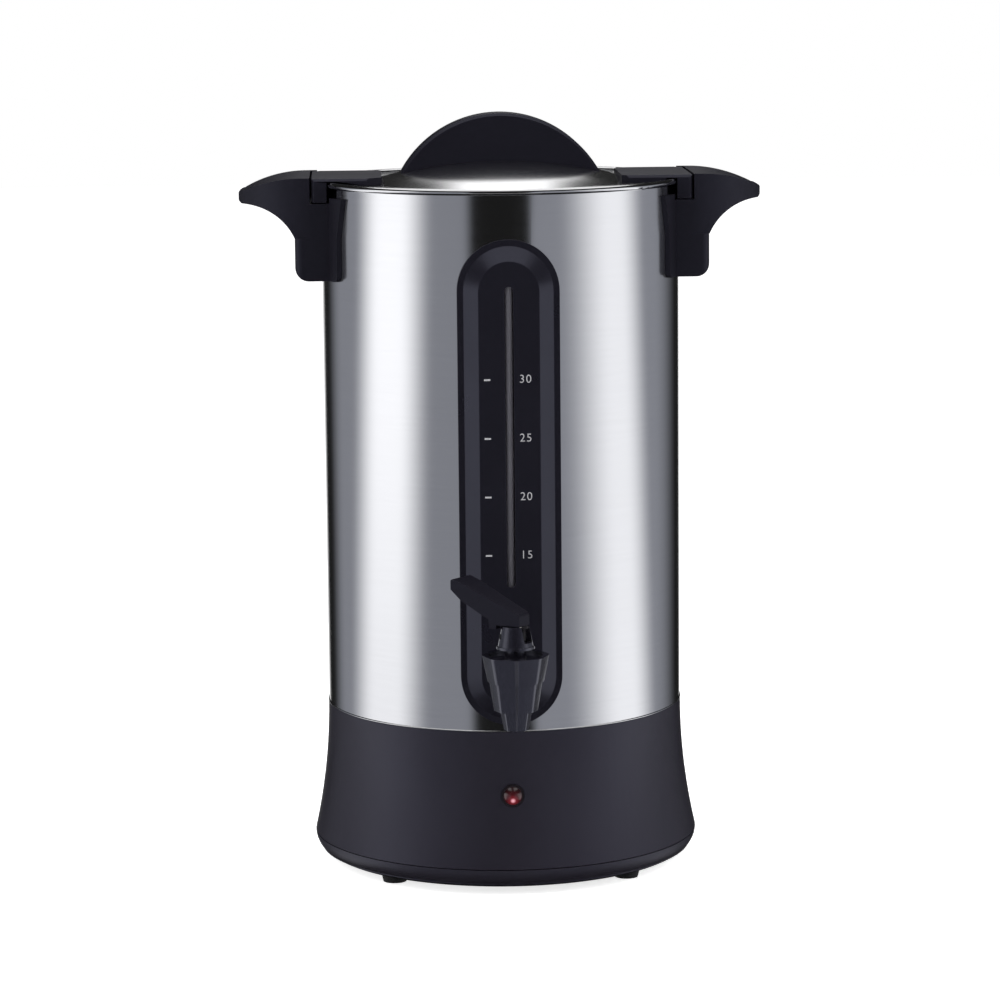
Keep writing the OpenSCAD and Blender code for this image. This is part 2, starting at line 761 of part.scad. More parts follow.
module brew_element() {
    color("#8a8a8a") on_axis() translate([0, 0, element_z]) {
        rotate([0, 0, element_turns[0]]) rotate_extrude(angle = element_turns[1] - element_turns[0])
            translate([element_loop_r, 0]) circle(element_r, $fn = 32);
        for (turn = element_turns) rotate([0, 0, turn]) {
            translate([element_loop_r, 0, 0]) sphere(element_r, $fn = 32);
            translate([element_loop_r, 0, -16]) cylinder(r = element_r, h = 16, $fn = 32);
            translate([element_loop_r, 0, -23]) cylinder(r = 1.2, h = 8, $fn = 24);
        }
    }
}

module keep_warm_band() {
    color("#b8b0a0") on_axis() translate([0, 0, warm_z])
        rotate([0, 0, 20]) rotate_extrude(angle = 320)
            translate([warm_loop_r - warm_w / 2, 0]) square([warm_w, warm_t]);
}

module thermostat() {
    can_r = 8;
    can_h = 9;
    cup_z = floor_z - tank_wall;
    color("#2a2522") on_axis() translate([0, sensor_ring_r, cup_z - can_h]) {
        cylinder(r = can_r, h = can_h - 3);
        translate([0, 0, can_h - 3.01]) cylinder(r = can_r - 1.2, h = 3.01);
        for (side = [-1, 1]) translate([side * 4 - 0.4, -3, -8]) cube([0.8, 6, 8.1]);
        difference() {
            translate([-15, -5, can_h - 4]) cube([30, 10, 1.2]);
            for (side = [-1, 1]) translate([side * 12, 0, 0]) cylinder(r = 1.7, h = 20, $fn = 24);
        }
    }
}

module thermal_cutout() {
    body_r = 2;
    cut_z = floor_z - tank_wall - body_r;
    color("#c8c8c8") on_axis() translate([0, -sensor_ring_r, cut_z]) {
        rod_x(body_r, -6, 6);
        rod_x(0.6, -14, 14);
        for (side = [-1, 1]) translate([side * 14, 0, -7]) cylinder(r = 0.6, h = 7.4, $fn = 24);
    }
}

// ---- Gauge ----

module obround(half_w, y_from, y_to) {
    translate([0, -y_from, 0]) rotate([90, 0, 0]) linear_extrude(y_to - y_from) {
        translate([-half_w, panel_low_z]) square([2 * half_w, panel_run]);
        for (z = [panel_low_z, panel_top_z]) translate([0, z]) circle(half_w);
    }
}

// An obround that narrows evenly from half_w0 to half_w1
module obround_bevel(half_w0, half_w1, y_from, y_to) {
    for (z = [panel_low_z, panel_top_z]) translate([0, -y_from, z]) rotate([90, 0, 0])
        cylinder(r1 = half_w0, r2 = half_w1, h = y_to - y_from);
    translate([0, 0, panel_low_z]) linear_extrude(panel_run)
        polygon([[-half_w0, -y_from], [half_w0, -y_from], [half_w1, -y_to], [-half_w1, -y_to]]);
}

module panel_slot(half_w) {
    rotate([90, 0, 0]) translate([0, 0, tank_r]) linear_extrude(30) {
        translate([-half_w, slot_low_z + half_w]) square([2 * half_w, slot_run - 2 * half_w]);
        for (z = [slot_low_z + half_w, slot_top_z - half_w]) translate([0, z]) circle(half_w, $fn = 32);
    }
}

module gauge_panel() {
    inside_y = tank_r - 12;
    color("#1f1f24") on_axis() difference() {
        union() {
            difference() {
                union() {
                    obround(panel_half_w, inside_y, rim_y);
                    obround_bevel(bevel_half_w, face_half_w, rim_y, face_y);
                }
                obround(panel_half_w - panel_wall, inside_y - 1, rim_y - panel_wall);
                obround_bevel(bevel_half_w - panel_wall, face_half_w - panel_wall,
                    rim_y - panel_wall - 0.01, face_y - panel_wall);
            }
            // screw posts and the pad behind the tap's collar
            for (x = [-panel_screw_x, panel_screw_x])
                translate([x, 0, panel_screw_z]) rod_y(panel_post_r, inside_y, face_y - 1);
            translate([0, 0, tap_z]) rod_y(collar_r + 1, inside_y, face_y - 0.5);
        }
        cylinder(r = tank_r + skin_gap, h = big * 2, $fn = 180);
        panel_slot(slot_w / 2);
        translate([0, 0, tap_z]) rod_y(shank_r + hole_gap, inside_y, face_y + 5);
        for (x = [-panel_screw_x, panel_screw_x])
            translate([x, 0, panel_screw_z]) rod_y(screw_r - 0.1, inside_y, face_y - panel_wall);
    }
}

module panel_screws() {
    color("silver") on_axis() for (x = [-panel_screw_x, panel_screw_x])
        translate([x, 0, panel_screw_z]) {
            wall_y = sqrt(tank_in_r * tank_in_r - panel_screw_x * panel_screw_x);
            rod_y(3.2, wall_y - 3, wall_y - 0.8);
            rod_y(screw_r - 0.2, wall_y - 1, face_y - panel_wall - 0.8);
        }
}

module sight_tube() {
    color("#d8dde0", 0.5) on_axis() translate([0, -tube_y, port_low_z + 5]) difference() {
        cylinder(r = tube_r, h = port_top_z - port_low_z - 8, $fn = 48);
        translate([0, 0, -1]) cylinder(r = tube_bore_r, h = port_top_z - port_low_z, $fn = 48);
    }
}

// A silicone elbow from the sight tube's end through the tank's wall; up is 1 or -1
module tube_elbow(port_z, tube_end, up) {
    translate([0, 0, port_z]) difference() {
        union() {
            translate([0, -tube_y, up > 0 ? -elbow_r : -tube_end - 3])
                cylinder(r = elbow_r, h = tube_end + 3 + elbow_r);
            rod_y(port_r, tank_in_r - 3, tube_y);
            intersection() {
                rod_y(port_r + 1.8, tank_in_r - 2.5, tank_in_r + 2);
                translate([0, 0, -10]) cylinder(r = tank_in_r - 0.02, h = 20, $fn = 180);
            }
        }
        rod_y(tube_bore_r - 0.2, tank_in_r - 10, tube_y);
        translate([0, -tube_y, up > 0 ? -tube_bore_r : -tube_end - 0.1])
            cylinder(r = tube_bore_r, h = tube_end + tube_bore_r + 0.1);
        translate([0, -tube_y, up > 0 ? tube_end : -tube_end - 4]) cylinder(r = tube_r + 0.02, h = 4);
    }
}

module tube_elbows() {
    color("#e4e2da") on_axis() {
        tube_elbow(port_low_z, 5, 1);
        tube_elbow(port_top_z, 3, -1);
    }
}

// ---- Tap ----

// An eight-sided taper with a corner to the front, its corners eased by a cone just inside them
module octagon_taper(low_r, high_r, z_from, z_to) {
    flat = cos(22.5);
    intersection() {
        intersection_for(i = [0:3]) rotate([0, 0, 22.5 + 45 * i])
            rotate([90, 0, 0]) translate([0, 0, -30]) linear_extrude(60)
                polygon([[-low_r * flat, z_from], [low_r * flat, z_from],
                    [high_r * flat, z_to], [-high_r * flat, z_to]]);
        translate([0, 0, z_from])
            cylinder(r1 = low_r * corner_share, r2 = high_r * corner_share, h = z_to - z_from);
    }
}

module tap_body() {
    color("#26262c") on_tap() difference() {
        union() {
            octagon_taper(cup_low_r, cup_r, cup_step_z, cup_top_z);
            octagon_taper(throat_low_r, throat_r, throat_step_z, cup_step_z + 0.5);
            octagon_taper(spout_low_r, spout_r, outlet_z, throat_step_z + 0.5);
            // shank: a collar against the panel and a threaded end through the tank
            translate([0, 0, tap_z]) {
                rod_y(shank_r, -shank_end_y, 0);
                rod_y(shank_r + 1.6, -collar_y, 0);
                rod_y(collar_r, -collar_y, collar_t - collar_y);
            }
        }
        // cup for the bonnet, valve chamber and outlet
        translate([0, 0, bonnet_seat_z]) cylinder(r = bonnet_skirt_r + 3, h = big);
        translate([0, 0, bonnet_low_z - 0.5]) cylinder(r = bonnet_skirt_r + 0.05, h = big);
        difference() {
            translate([0, 0, seat_z]) cylinder(r = chamber_r, h = cup_top_z - seat_z);
            translate([0, 0, seat_z - 1]) cylinder(r = outlet_r + 1.2, h = 1 + lip_h);
        }
        translate([0, 0, outlet_z - 1]) cylinder(r = outlet_r, h = seat_z - outlet_z + lip_h + 2);
        translate([0, 0, tap_z]) rod_y(shank_bore_r, -shank_end_y - 1, -chamber_r + 3);
    }
}

module tap_bonnet() {
    color("#26262c") on_tap() difference() {
        union() {
            translate([0, 0, bonnet_low_z])
                cylinder(r = bonnet_skirt_r, h = bonnet_seat_z - bonnet_low_z + 1);
            translate([0, 0, bonnet_seat_z]) cylinder(r = bonnet_skirt_r + 2.8, h = bonnet_flange_t);
            translate([0, 0, bonnet_seat_z]) cylinder(r = neck_r, h = neck_top_z - bonnet_seat_z);
            // the bead that the lever's hub snaps over
            translate([0, 0, neck_bead_z]) cylinder(r = neck_r + bead_out, h = bead_h);
        }
        translate([0, 0, bonnet_low_z - 1])
            cylinder(r = chamber_r + 0.8, h = bonnet_roof_z - bonnet_low_z + 1);
        cylinder(r = stem_r + running_gap, h = big);
        // spanner notches in the flange
        for (i = [0:3]) rotate([0, 0, 90 * i]) translate([bonnet_skirt_r, -1.5, bonnet_seat_z + 1])
            cube([5, 3, 5]);
    }
}

module tap_gaskets() {
    color("#b8b4a8") on_axis() translate([0, 0, tap_z]) {
        difference() {
            rod_y(collar_r, face_y, face_y + gasket_t);
            rod_y(shank_r + 0.05, face_y - 1, face_y + 3);
        }
        difference() {
            rod_y(tap_nut_r - 1, tank_in_r - nut_gasket_t, tank_in_r + 2);
            rod_y(shank_r + 0.05, tank_in_r - 5, tank_in_r + 5);
            difference() {
                translate([0, 0, -30]) cylinder(r = tank_in_r + 10, h = 60);
                translate([0, 0, -31]) cylinder(r = tank_in_r - 0.02, h = 62, $fn = 180);
            }
        }
    }
}

module tap_nut() {
    color("silver") on_axis() translate([0, -tank_in_r + nut_gasket_t + tap_nut_t, tap_z])
        rotate([90, 0, 0]) difference() {
            cylinder(r = tap_nut_r, h = tap_nut_t, $fn = 6);
            translate([0, 0, -1]) cylinder(r = shank_r + 0.05, h = tap_nut_t + 2);
        }
}

// ---- Tap lever and valve ----

module lever_hub() {
    color("#26262c") on_lever() difference() {
        union() {
            translate([0, 0, hub_z]) cylinder(r = hub_r, h = hub_ring_h);
            translate([0, 0, hub_z + hub_ring_h])
                cylinder(r1 = hub_r - 0.8, r2 = hub_top_r, h = hub_h - hub_ring_h);
        }
        // bore and groove that turn on the bonnet's neck
        translate([0, 0, hub_z - 1]) cylinder(r = neck_r + running_gap, h = tongue_slot_z - hub_z + 1);
        translate([0, 0, neck_bead_z - 0.1])
            cylinder(r = neck_r + bead_out + running_gap, h = bead_h + 0.2);
        translate([0, 0, hub_z - 1]) cylinder(r1 = neck_r + 1.2, r2 = neck_r, h = 1.8);
        cylinder(r = stem_head_r + seat_gap, h = big);
        // slot for the lever's tongue, open at both sides
        translate([-hub_r - 1, -tongue_slot_w / 2, tongue_slot_z]) cube([2 * hub_r + 2, tongue_slot_w, hub_h]);
        translate([pin_offset, 0, lever_pin_z]) rotate([90, 0, 0]) translate([0, 0, -hub_r])
            cylinder(r = lever_pin_r, h = 2 * hub_r, $fn = 48);
    }
}

module lever_pin() {
    cone_r = hub_r - 0.8 - (hub_r - 0.8 - hub_top_r) * (lever_pin_z - hub_z) / hub_h;
    half = sqrt(cone_r * cone_r - pin_offset * pin_offset) - 0.6;
    color("silver") on_lever() translate([pin_offset, 0, lever_pin_z]) rotate([90, 0, 0])
        translate([0, 0, -half]) cylinder(r = lever_pin_r - 0.02, h = 2 * half, $fn = 48);
}

// The lever seen from its side: x along the lever, y up
module lever_profile() {
    tip_top = lever_root_top_z + lever_rise;
    length = lever_reach - lever_root_x;
    chin_x = hub_top_r + 1;
    polygon([
        [lever_root_x, lever_seat_z],
        [chin_x, lever_seat_z],
        [chin_x, lever_seat_z - chin_drop],
        [chin_x + chin_len, lever_seat_z - chin_drop],
        [chin_x + chin_len * 1.2, lever_seat_z + lever_rise * 0.19],
        [lever_reach * 0.5, lever_seat_z + lever_rise * 0.33],
        [lever_reach * 0.83, lever_seat_z + lever_rise * 0.73],
        [lever_reach, tip_top - lever_tip_t],
        [lever_reach, tip_top - 0.8],
        [lever_reach - 0.8, tip_top],
        [lever_root_x + length * 0.78, lever_root_top_z + lever_rise * 0.84],
        [lever_root_x + 0.8, lever_root_top_z + 0.3],
        [lever_root_x, lever_root_top_z - 0.8]]);
}

module tap_lever() {
    color("#26262c") on_lever() difference() {
        union() {
            intersection() {
                rotate([90, 0, 0]) translate([0, 0, -big / 2]) linear_extrude(big) lever_profile();
                linear_extrude(big) polygon([
                    [lever_root_x - 1, -lever_root_w / 2],
                    [lever_reach + 1, -lever_tip_w / 2],
                    [lever_reach + 1, lever_tip_w / 2],
                    [lever_root_x - 1, lever_root_w / 2]]);
            }
            // tongue that hangs in the hub's slot on the pin
            rotate([90, 0, 0]) translate([0, 0, -tongue_t / 2]) linear_extrude(tongue_t) {
                translate([pin_offset, lever_pin_z]) circle(3, $fn = 48);
                translate([pin_offset - 1.4, lever_pin_z])
                    square([3.4, lever_seat_z + 2.5 - lever_pin_z]);
            }
            // fork that lifts the stem's head
            rotate([90, 0, 0]) translate([0, 0, -tongue_t / 2]) linear_extrude(tongue_t) {
                translate([0, prong_z]) circle(prong_r, $fn = 32);
                polygon([[0, prong_z - prong_r], [0, prong_z + prong_r],
                    [pin_offset, lever_pin_z + 2], [pin_offset, lever_pin_z - 2.4]]);
            }
        }
        translate([-8, -prong_slot_w / 2, lever_pin_z - 8]) cube([8 + stem_neck_r + 0.9, prong_slot_w, 12]);
        // recess under the blade for the stem's head
        translate([-0.2, 0, stem_head_z - seat_gap])
            cylinder(r = stem_head_r + 0.6, h = stem_head_h + stem_travel + 1.4);
        translate([pin_offset, 0, lever_pin_z]) rotate([90, 0, 0]) translate([0, 0, -10])
            cylinder(r = lever_pin_r + running_gap, h = 20, $fn = 48);
    }
}

module tap_stem() {
    color("#d8d4c8") on_tap() {
        translate([0, 0, stem_flange_z]) cylinder(r = stem_r, h = stem_neck_z - stem_flange_z);
        translate([0, 0, stem_neck_z - 0.1])
            cylinder(r = stem_neck_r, h = stem_head_z - stem_neck_z + 0.2, $fn = 48);
        translate([0, 0, stem_head_z]) cylinder(r = stem_head_r, h = stem_head_h, $fn = 48);
        translate([0, 0, stem_flange_z]) cylinder(r = spring_r + spring_wire_r + 0.4, h = stem_flange_t);
        translate([0, 0, stem_foot_z]) cylinder(r = 1.8, h = stem_flange_z - stem_foot_z + 0.1, $fn = 48);
    }
}

module seat_cup() {
    color("#e4e2da") on_tap() rotate_extrude() difference() {
        union() {
            translate([0, cup_seal_z]) square([cup_seal_r, 1.6]);
            polygon([[0, cup_seal_z + 1.5], [cup_seal_r, cup_seal_z + 1.5],
                [4.2, cup_seal_z + cup_seal_h], [0, cup_seal_z + cup_seal_h]]);
        }
        translate([0, stem_foot_z]) square([1.8, cup_seal_h]);
    }
}

// Coil spring: half rings tipped by turns one way and the other, joined by short straight links
module tap_spring() {
    half_turns = 2 * spring_turns;
    rise = (spring_top_z - spring_low_z - 2 * spring_wire_r) / half_turns;
    tip_angle = asin(rise / (2 * spring_r));
    link = 0.2;
    link_r = spring_wire_r + 0.02;
    first_z = spring_low_z + spring_wire_r;
    color("silver") on_tap() {
        for (i = [0:half_turns - 1]) {
            way = i % 2 == 0 ? 1 : -1;
            translate([0, way * link / 2, first_z + (i + 0.5) * rise]) rotate([0, way * tip_angle, 0])
                rotate([0, 0, 90 - way * 90]) rotate_extrude(angle = 180, $fn = 48)
                    translate([spring_r, 0]) circle(spring_wire_r, $fn = 16);
        }
        for (i = [1:half_turns - 1]) {
            way = i % 2 == 0 ? 1 : -1;
            translate([way * spring_r * cos(tip_angle), 1.5 * link, first_z + i * rise])
                rotate([90, 0, 0]) cylinder(r = link_r, h = 3 * link, $fn = 16);
        }
    }
}

// ---- Handles ----

// The handle seen from the front: x outwards from the tank's axis, y up
module handle_outline() {
    root_x = tank_r - 24;
    difference() {
        union() {
            translate([root_x, block_low_z])
                square([block_x - corner_r - root_x, handle_h]);
            translate([root_x, block_low_z + corner_r])
                square([block_x - root_x, hook_root_z - block_low_z - corner_r + 1]);
            translate([block_x - corner_r, block_low_z + corner_r]) circle(corner_r);
            intersection() {
                translate([root_x, hook_root_z]) square([nose_x - root_x, handle_top_z - hook_root_z]);
                union() {
                    translate([crown_x, handle_top_z - crown_r]) circle(crown_r, $fn = 240);
                    translate([root_x, hook_root_z]) square([crown_x - root_x, handle_top_z - hook_root_z]);
                }
            }
            translate([nose_x, nose_z]) circle(nose_r, $fn = 48);
        }
        intersection() {
            translate([nose_x, hollow_z]) circle(hollow_r, $fn = 160);
            translate([block_x, hook_root_z]) square([60, 60]);
        }
    }
}

// The mounting flange seen from the side, with its lower corners rounded
module flange_outline() {
    soft = 4;
    polygon([[-flange_half_w, block_low_z + soft], [flange_half_w, block_low_z + soft],
        [flange_half_w, flange_knee_z], [flange_top_half_w, flange_top_z],
        [-flange_top_half_w, flange_top_z], [-flange_half_w, flange_knee_z]]);
    translate([-flange_half_w + soft, block_low_z]) square([2 * (flange_half_w - soft), soft + 0.1]);
    for (side = [-1, 1]) translate([side * (flange_half_w - soft), block_low_z + soft])
        circle(soft, $fn = 48);
}

// The hook seen from above: its sides curve in towards the tip
module hook_plan() {
    side_y = plan_r - handle_half_d;
    arch_x = tip_x - sqrt(plan_r * plan_r - side_y * side_y);
    translate([0, -handle_half_d]) square([arch_x, 2 * handle_half_d]);
    intersection() {
        translate([arch_x, side_y]) circle(plan_r, $fn = 240);
        translate([arch_x, -side_y]) circle(plan_r, $fn = 240);
        translate([arch_x - 1, -handle_half_d]) square([plan_r, 2 * handle_half_d]);
    }
}

// The block below the hook seen from above
module block_plan() {
    translate([0, -handle_half_d]) square([block_x - block_corner_r, 2 * handle_half_d]);
    translate([0, -handle_half_d + block_corner_r])
        square([block_x, 2 * (handle_half_d - block_corner_r)]);
    for (side = [-1, 1])
        translate([block_x - block_corner_r, side * (handle_half_d - block_corner_r)])
            circle(block_corner_r, $fn = 48);
}

// A handle for the +X side
module handle() {
    cavity_top = pocket_z - handle_wall;
    rib_t = 2.4;
    rib_y = handle_half_d / 2;
    difference() {
        union() {
            difference() {
                intersection() {
                    rotate([90, 0, 0]) translate([0, 0, -big / 2]) linear_extrude(big) handle_outline();
                    union() {
                        translate([0, 0, block_low_z]) linear_extrude(hook_root_z - block_low_z) block_plan();
                        translate([0, 0, hook_root_z]) linear_extrude(big) hook_plan();
                    }
                }
                // the block is hollow towards the tank
                translate([tank_r - 30, -handle_half_d + handle_wall, block_low_z + handle_wall])
                    cube([block_x - handle_wall - tank_r + 30, 2 * (handle_half_d - handle_wall),
                        cavity_top - block_low_z - handle_wall]);
            }
            intersection() {
                rotate([90, 0, 90]) linear_extrude(big) flange_outline();
                cylinder(r = tank_r + flange_t, h = 2 * big, $fn = 180);
                translate([tank_r - 60, -big / 2, 0]) cube([big, big, 2 * big]);
            }
            // ribs and screw bosses inside the block
            for (side = [-1, 1]) translate([tank_r - 8, side * rib_y - rib_t / 2, block_low_z + 1])
                cube([block_x - tank_r + 6, rib_t, cavity_top - block_low_z]);
            for (z = handle_screw_zs) translate([0, 0, z])
                rod_x(handle_boss_r, tank_r - 4, block_x - 1);
        }
        cylinder(r = tank_r + skin_gap, h = 2 * big, $fn = 180);
        // pocket for the lid's latch and room for the rolled rim, with a stop at its rear corner
        difference() {
            translate([0, -handle_half_d - 1, pocket_z]) cube([pocket_x, 2 * handle_half_d + 2, handle_h]);
            translate([pocket_x - stop_w, handle_half_d - stop_t, pocket_z - 1])
                cube([stop_w, stop_t, handle_h]);
        }
        for (z = handle_screw_zs) translate([0, 0, z])
            rod_x(handle_screw_r + 0.05, tank_r - 5, block_x - handle_wall);
    }
}

module left_handle() {
    color("#222227") on_axis() mirror([1, 0, 0]) handle();
}

module right_handle() {
    color("#222227") on_axis() handle();
}

module handle_screws() {
    head_t = 2.6;
    head_x = tank_in_r - washer_t - head_t;
    color("silver") on_axis() for (side = [0, 180], z = handle_screw_zs)
        rotate([0, 0, side]) translate([0, 0, z]) difference() {
            union() {
                rod_x(4, head_x, head_x + head_t);
                rod_x(handle_screw_r, head_x + 1, block_x - handle_wall - 1.2);
            }
            translate([head_x - 0.1, -3, -0.5]) cube([1.2, 6, 1]);
            translate([head_x - 0.1, -0.5, -3]) cube([1.2, 1, 6]);
        }
}

module handle_washers() {
    color("#e4e2da") on_axis() for (side = [0, 180], z = handle_screw_zs)
        rotate([0, 0, side]) translate([0, 0, z]) intersection() {
            difference() {
                rod_x(5.2, tank_in_r - washer_t, tank_in_r + 1);
                rod_x(handle_screw_r + 0.05, tank_in_r - 5, tank_in_r + 5);
            }
            translate([0, 0, -tap_nut_r]) cylinder(r = tank_in_r - 0.02, h = 2 * tap_nut_r, $fn = 720);
        }
}

// ---- Lid ----

module lid_section() {
    // dome, brim and skirt from one sheet
    intersection() {
        translate([0, dome_z]) difference() {
            circle(dome_r, $fn = 720);
            circle(dome_r - lid_wall, $fn = 720);
        }
        translate([0, brim_z - lid_wall]) square([dome_edge_r, dome_h + lid_wall]);
    }
    translate([dome_edge_r - 2.6, brim_z - lid_wall]) square([brim_r - dome_edge_r + 2.6, lid_wall]);
    translate([brim_r - lid_wall, brim_z - skirt_h]) square([lid_wall, skirt_h]);
}

module lid_dome() {
    color("gainsboro") on_axis() difference() {
        rotate_extrude($fn = 120) lid_section();
        for (side = [-1, 1]) {
            translate([side * grip_screw_pitch / 2, 0, brim_z - 5])
                cylinder(r = screw_r + hole_gap, h = dome_h + 10, $fn = 32);
            for (y = [-1, 1]) translate([side * latch_screw_x, y * latch_screw_pitch / 2, brim_z - 5])
                cylinder(r = screw_r + hole_gap, h = 10, $fn = 32);
        }
    }
}

module half_moon(r, t, soft) {
    translate([0, t / 2, grip_z]) rotate([90, 0, 0]) {
        cylinder(r1 = r - soft, r2 = r, h = soft, $fn = 160);
        translate([0, 0, soft]) cylinder(r = r, h = t - 2 * soft, $fn = 160);
        translate([0, 0, t - soft]) cylinder(r1 = r, r2 = r - soft, h = soft, $fn = 160);
    }
}

module lid_grip() {
    boss_r = 4.5;
    color("#222227") on_axis() difference() {
        half_moon(grip_r, grip_t, grip_soft);
        difference() {
            // hollow, open towards the dome, round two screw bosses
            half_moon(grip_r - grip_wall, grip_t - 2 * grip_wall, 0.5);
            for (side = [-1, 1]) translate([side * grip_screw_pitch / 2, 0, 0])
                cylinder(r = boss_r, h = grip_top_z);
        }
        translate([0, 0, dome_z]) sphere(dome_r + 0.02, $fn = 720);
        translate([-big / 2, -big / 2, 0]) cube([big, big, brim_z + 1]);
        for (side = [-1, 1]) translate([side * grip_screw_pitch / 2, 0, 0])
            cylinder(r = screw_r, h = brim_z + dome_h + grip_screw_run, $fn = 32);
    }
}

module grip_screws() {
    top = dome_z + sqrt(dome_r * dome_r - pow(grip_screw_pitch / 2, 2));
    color("silver") on_axis() for (side = [-1, 1])
        translate([side * grip_screw_pitch / 2, 0, top - lid_wall]) {
            translate([0, 0, -3.2]) difference() {
                cylinder(r = 4, h = 2.4, $fn = 48);
                translate([-3, -0.5, -0.1]) cube([6, 1, 1.1]);
                translate([-0.5, -3, -0.1]) cube([1, 6, 1.1]);
            }
            translate([0, 0, -1]) cylinder(r = screw_r - 0.05, h = grip_screw_run - 2, $fn = 32);
        }
}

// A latch for the +X side: a plate on the brim that bridges the rim and drops outside it. The
// corner that clears the handle's stop is on the side that stop_side names, 1 or -1
module latch(stop_side) {
    clear_r = bead_out_r + seat_gap;
    inner_r = brim_r - 0.4;
    soft = 1.5;
    half_d = handle_half_d;
    cut = 9;
    notch_x = pocket_x - stop_w - latch_gap;
    notch_y = half_d - stop_t - latch_gap;
    difference() {
        intersection() {
            linear_extrude(big * 2) polygon([[latch_inner_x, -half_d + 4], [latch_inner_x + 4, -half_d],
                [latch_x - soft, -half_d], [latch_x, -half_d + soft], [latch_x, half_d - soft],
                [latch_x - soft, half_d], [latch_inner_x + cut, half_d], [latch_inner_x, half_d - cut]]);
            rotate([90, 0, 90]) linear_extrude(big) polygon([[-half_d, latch_low_z],
                [half_d, latch_low_z], [half_d, latch_top_z - soft], [half_d - soft, latch_top_z],
                [-half_d + soft, latch_top_z], [-half_d, latch_top_z - soft]]);
        }
        // inside the rim the plate lies on the brim, outside it the block clears the bead
        translate([0, 0, -1]) cylinder(r = inner_r, h = brim_z + 1.02, $fn = 180);
        ring(clear_r, inner_r - 0.01, 0, rim_z + bead_r + seat_gap);
        translate([notch_x, stop_side > 0 ? notch_y : -big - notch_y, 0]) cube([big, big, big * 2]);
        translate([0, 0, dome_z]) sphere(dome_r + 0.02, $fn = 720);
        for (y = [-1, 1]) translate([latch_screw_x, y * latch_screw_pitch / 2, 0])
            cylinder(r = screw_r, h = latch_top_z - 1, $fn = 32);
    }
}

module left_latch() {
    color("#2c2c33") on_axis() rotate([0, 0, 180]) latch(-1);
}

module right_latch() {
    color("#2c2c33") on_axis() latch(1);
}

module latch_screws() {
    color("silver") on_axis() for (side = [-1, 1], y = [-1, 1])
        translate([side * latch_screw_x, y * latch_screw_pitch / 2, brim_z - lid_wall]) {
            translate([0, 0, -1.8]) cylinder(r = 3, h = 1.8, $fn = 48);
            translate([0, 0, -0.1]) cylinder(r = screw_r - 0.05, h = lid_wall + 2.6, $fn = 32);
        }
}

// ---- Percolator ----

module pump_tube() {
    color("gainsboro") on_axis() {
        ring(pump_r, pump_r - pump_wall, bell_z + 6, pump_top_z);
        // collar that carries the basket
        ring(pump_r + 4, pump_r - 0.2, basket_z - collar_h - 0.3, basket_z - 0.3);
    }
}

module pump_foot() {
    shoulder_r = pump_r + 1.6;
    color("gainsboro") on_axis() difference() {
        rotate_extrude() difference() {
            polygon([[0, bell_z], [bell_r, bell_z], [bell_r, bell_z + 3],
                [shoulder_r, bell_z + bell_h], [0, bell_z + bell_h]]);
            polygon([[-1, bell_z - 1], [bell_r - bell_wall, bell_z - 1], [bell_r - bell_wall, bell_z + 2.4],
                [shoulder_r - bell_wall, bell_z + bell_h - 3], [-1, bell_z + bell_h - 3]]);
        }
        cylinder(r = pump_r + 0.03, h = big, $fn = 64);
        // notches that let water into the bell
        for (i = [0:5]) rotate([0, 0, 60 * i]) translate([bell_r - 4, -3, bell_z - 1]) cube([8, 6, 3]);
    }
}

module hole_rings(radii, z) {
    for (r = radii) {
        count = round(r / 3.2);
        for (i = [0:count - 1]) rotate([0, 0, 360 / count * i]) translate([r, 0, z])
            cylinder(r = basket_hole_r, h = 4, $fn = 16);
    }
}

module coffee_basket() {
    top_z = basket_z + basket_h;
    color("silver") on_axis() difference() {
        union() {
            ring(basket_r, basket_r - basket_wall, basket_z, top_z);
            ring(basket_r + 1.6, basket_r - basket_wall, top_z - 1, top_z);
            ring(basket_r, basket_sleeve_r, basket_z, basket_z + basket_wall);
            ring(basket_sleeve_r + basket_wall, basket_sleeve_r, basket_z, basket_z + 20);
        }
        hole_rings([for (share = [0.3, 0.5, 0.7, 0.9]) share * basket_r], basket_z - 2);
    }
}

module basket_cover() {
    color("silver") on_axis() difference() {
        union() {
            ring(basket_r + 2.2, basket_sleeve_r + 0.2, cover_z, cover_z + basket_wall);
            ring(basket_r + 2.2, basket_r + 2.2 - basket_wall, cover_z, cover_z + cover_lip);
            ring(basket_r - basket_wall - seat_gap, basket_r - 2 * basket_wall - seat_gap,
                cover_z - 2.5, cover_z + 0.1);
        }
        hole_rings([for (share = [0.33, 0.6, 0.83]) share * basket_r], cover_z - 1);
    }
}

tank();
base_shell();
base_pan();
pan_screws();
feet();
base_stud();
base_nut();
pilot_lens();
pilot_body();
power_inlet();
inlet_pins();
inlet_screws();
heater_plate();
brew_element();
keep_warm_band();
thermostat();
thermal_cutout();
gauge_panel();
panel_screws();
sight_tube();
tube_elbows();
tap_body();
tap_bonnet();
tap_gaskets();
tap_nut();
lever_hub();
lever_pin();
tap_lever();
tap_stem();
seat_cup();
tap_spring();
left_handle();
right_handle();
handle_screws();
handle_washers();
lid_dome();
lid_grip();
grip_screws();
left_latch();
right_latch();
latch_screws();
pump_tube();
pump_foot();
coffee_basket();
basket_cover();
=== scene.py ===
from math import cos, pi, radians, sin

import bmesh
import bpy
from bpy.props import FloatProperty, FloatVectorProperty, PointerProperty
from bpy.types import Operator, Panel, PropertyGroup
from mathutils import Matrix, Vector


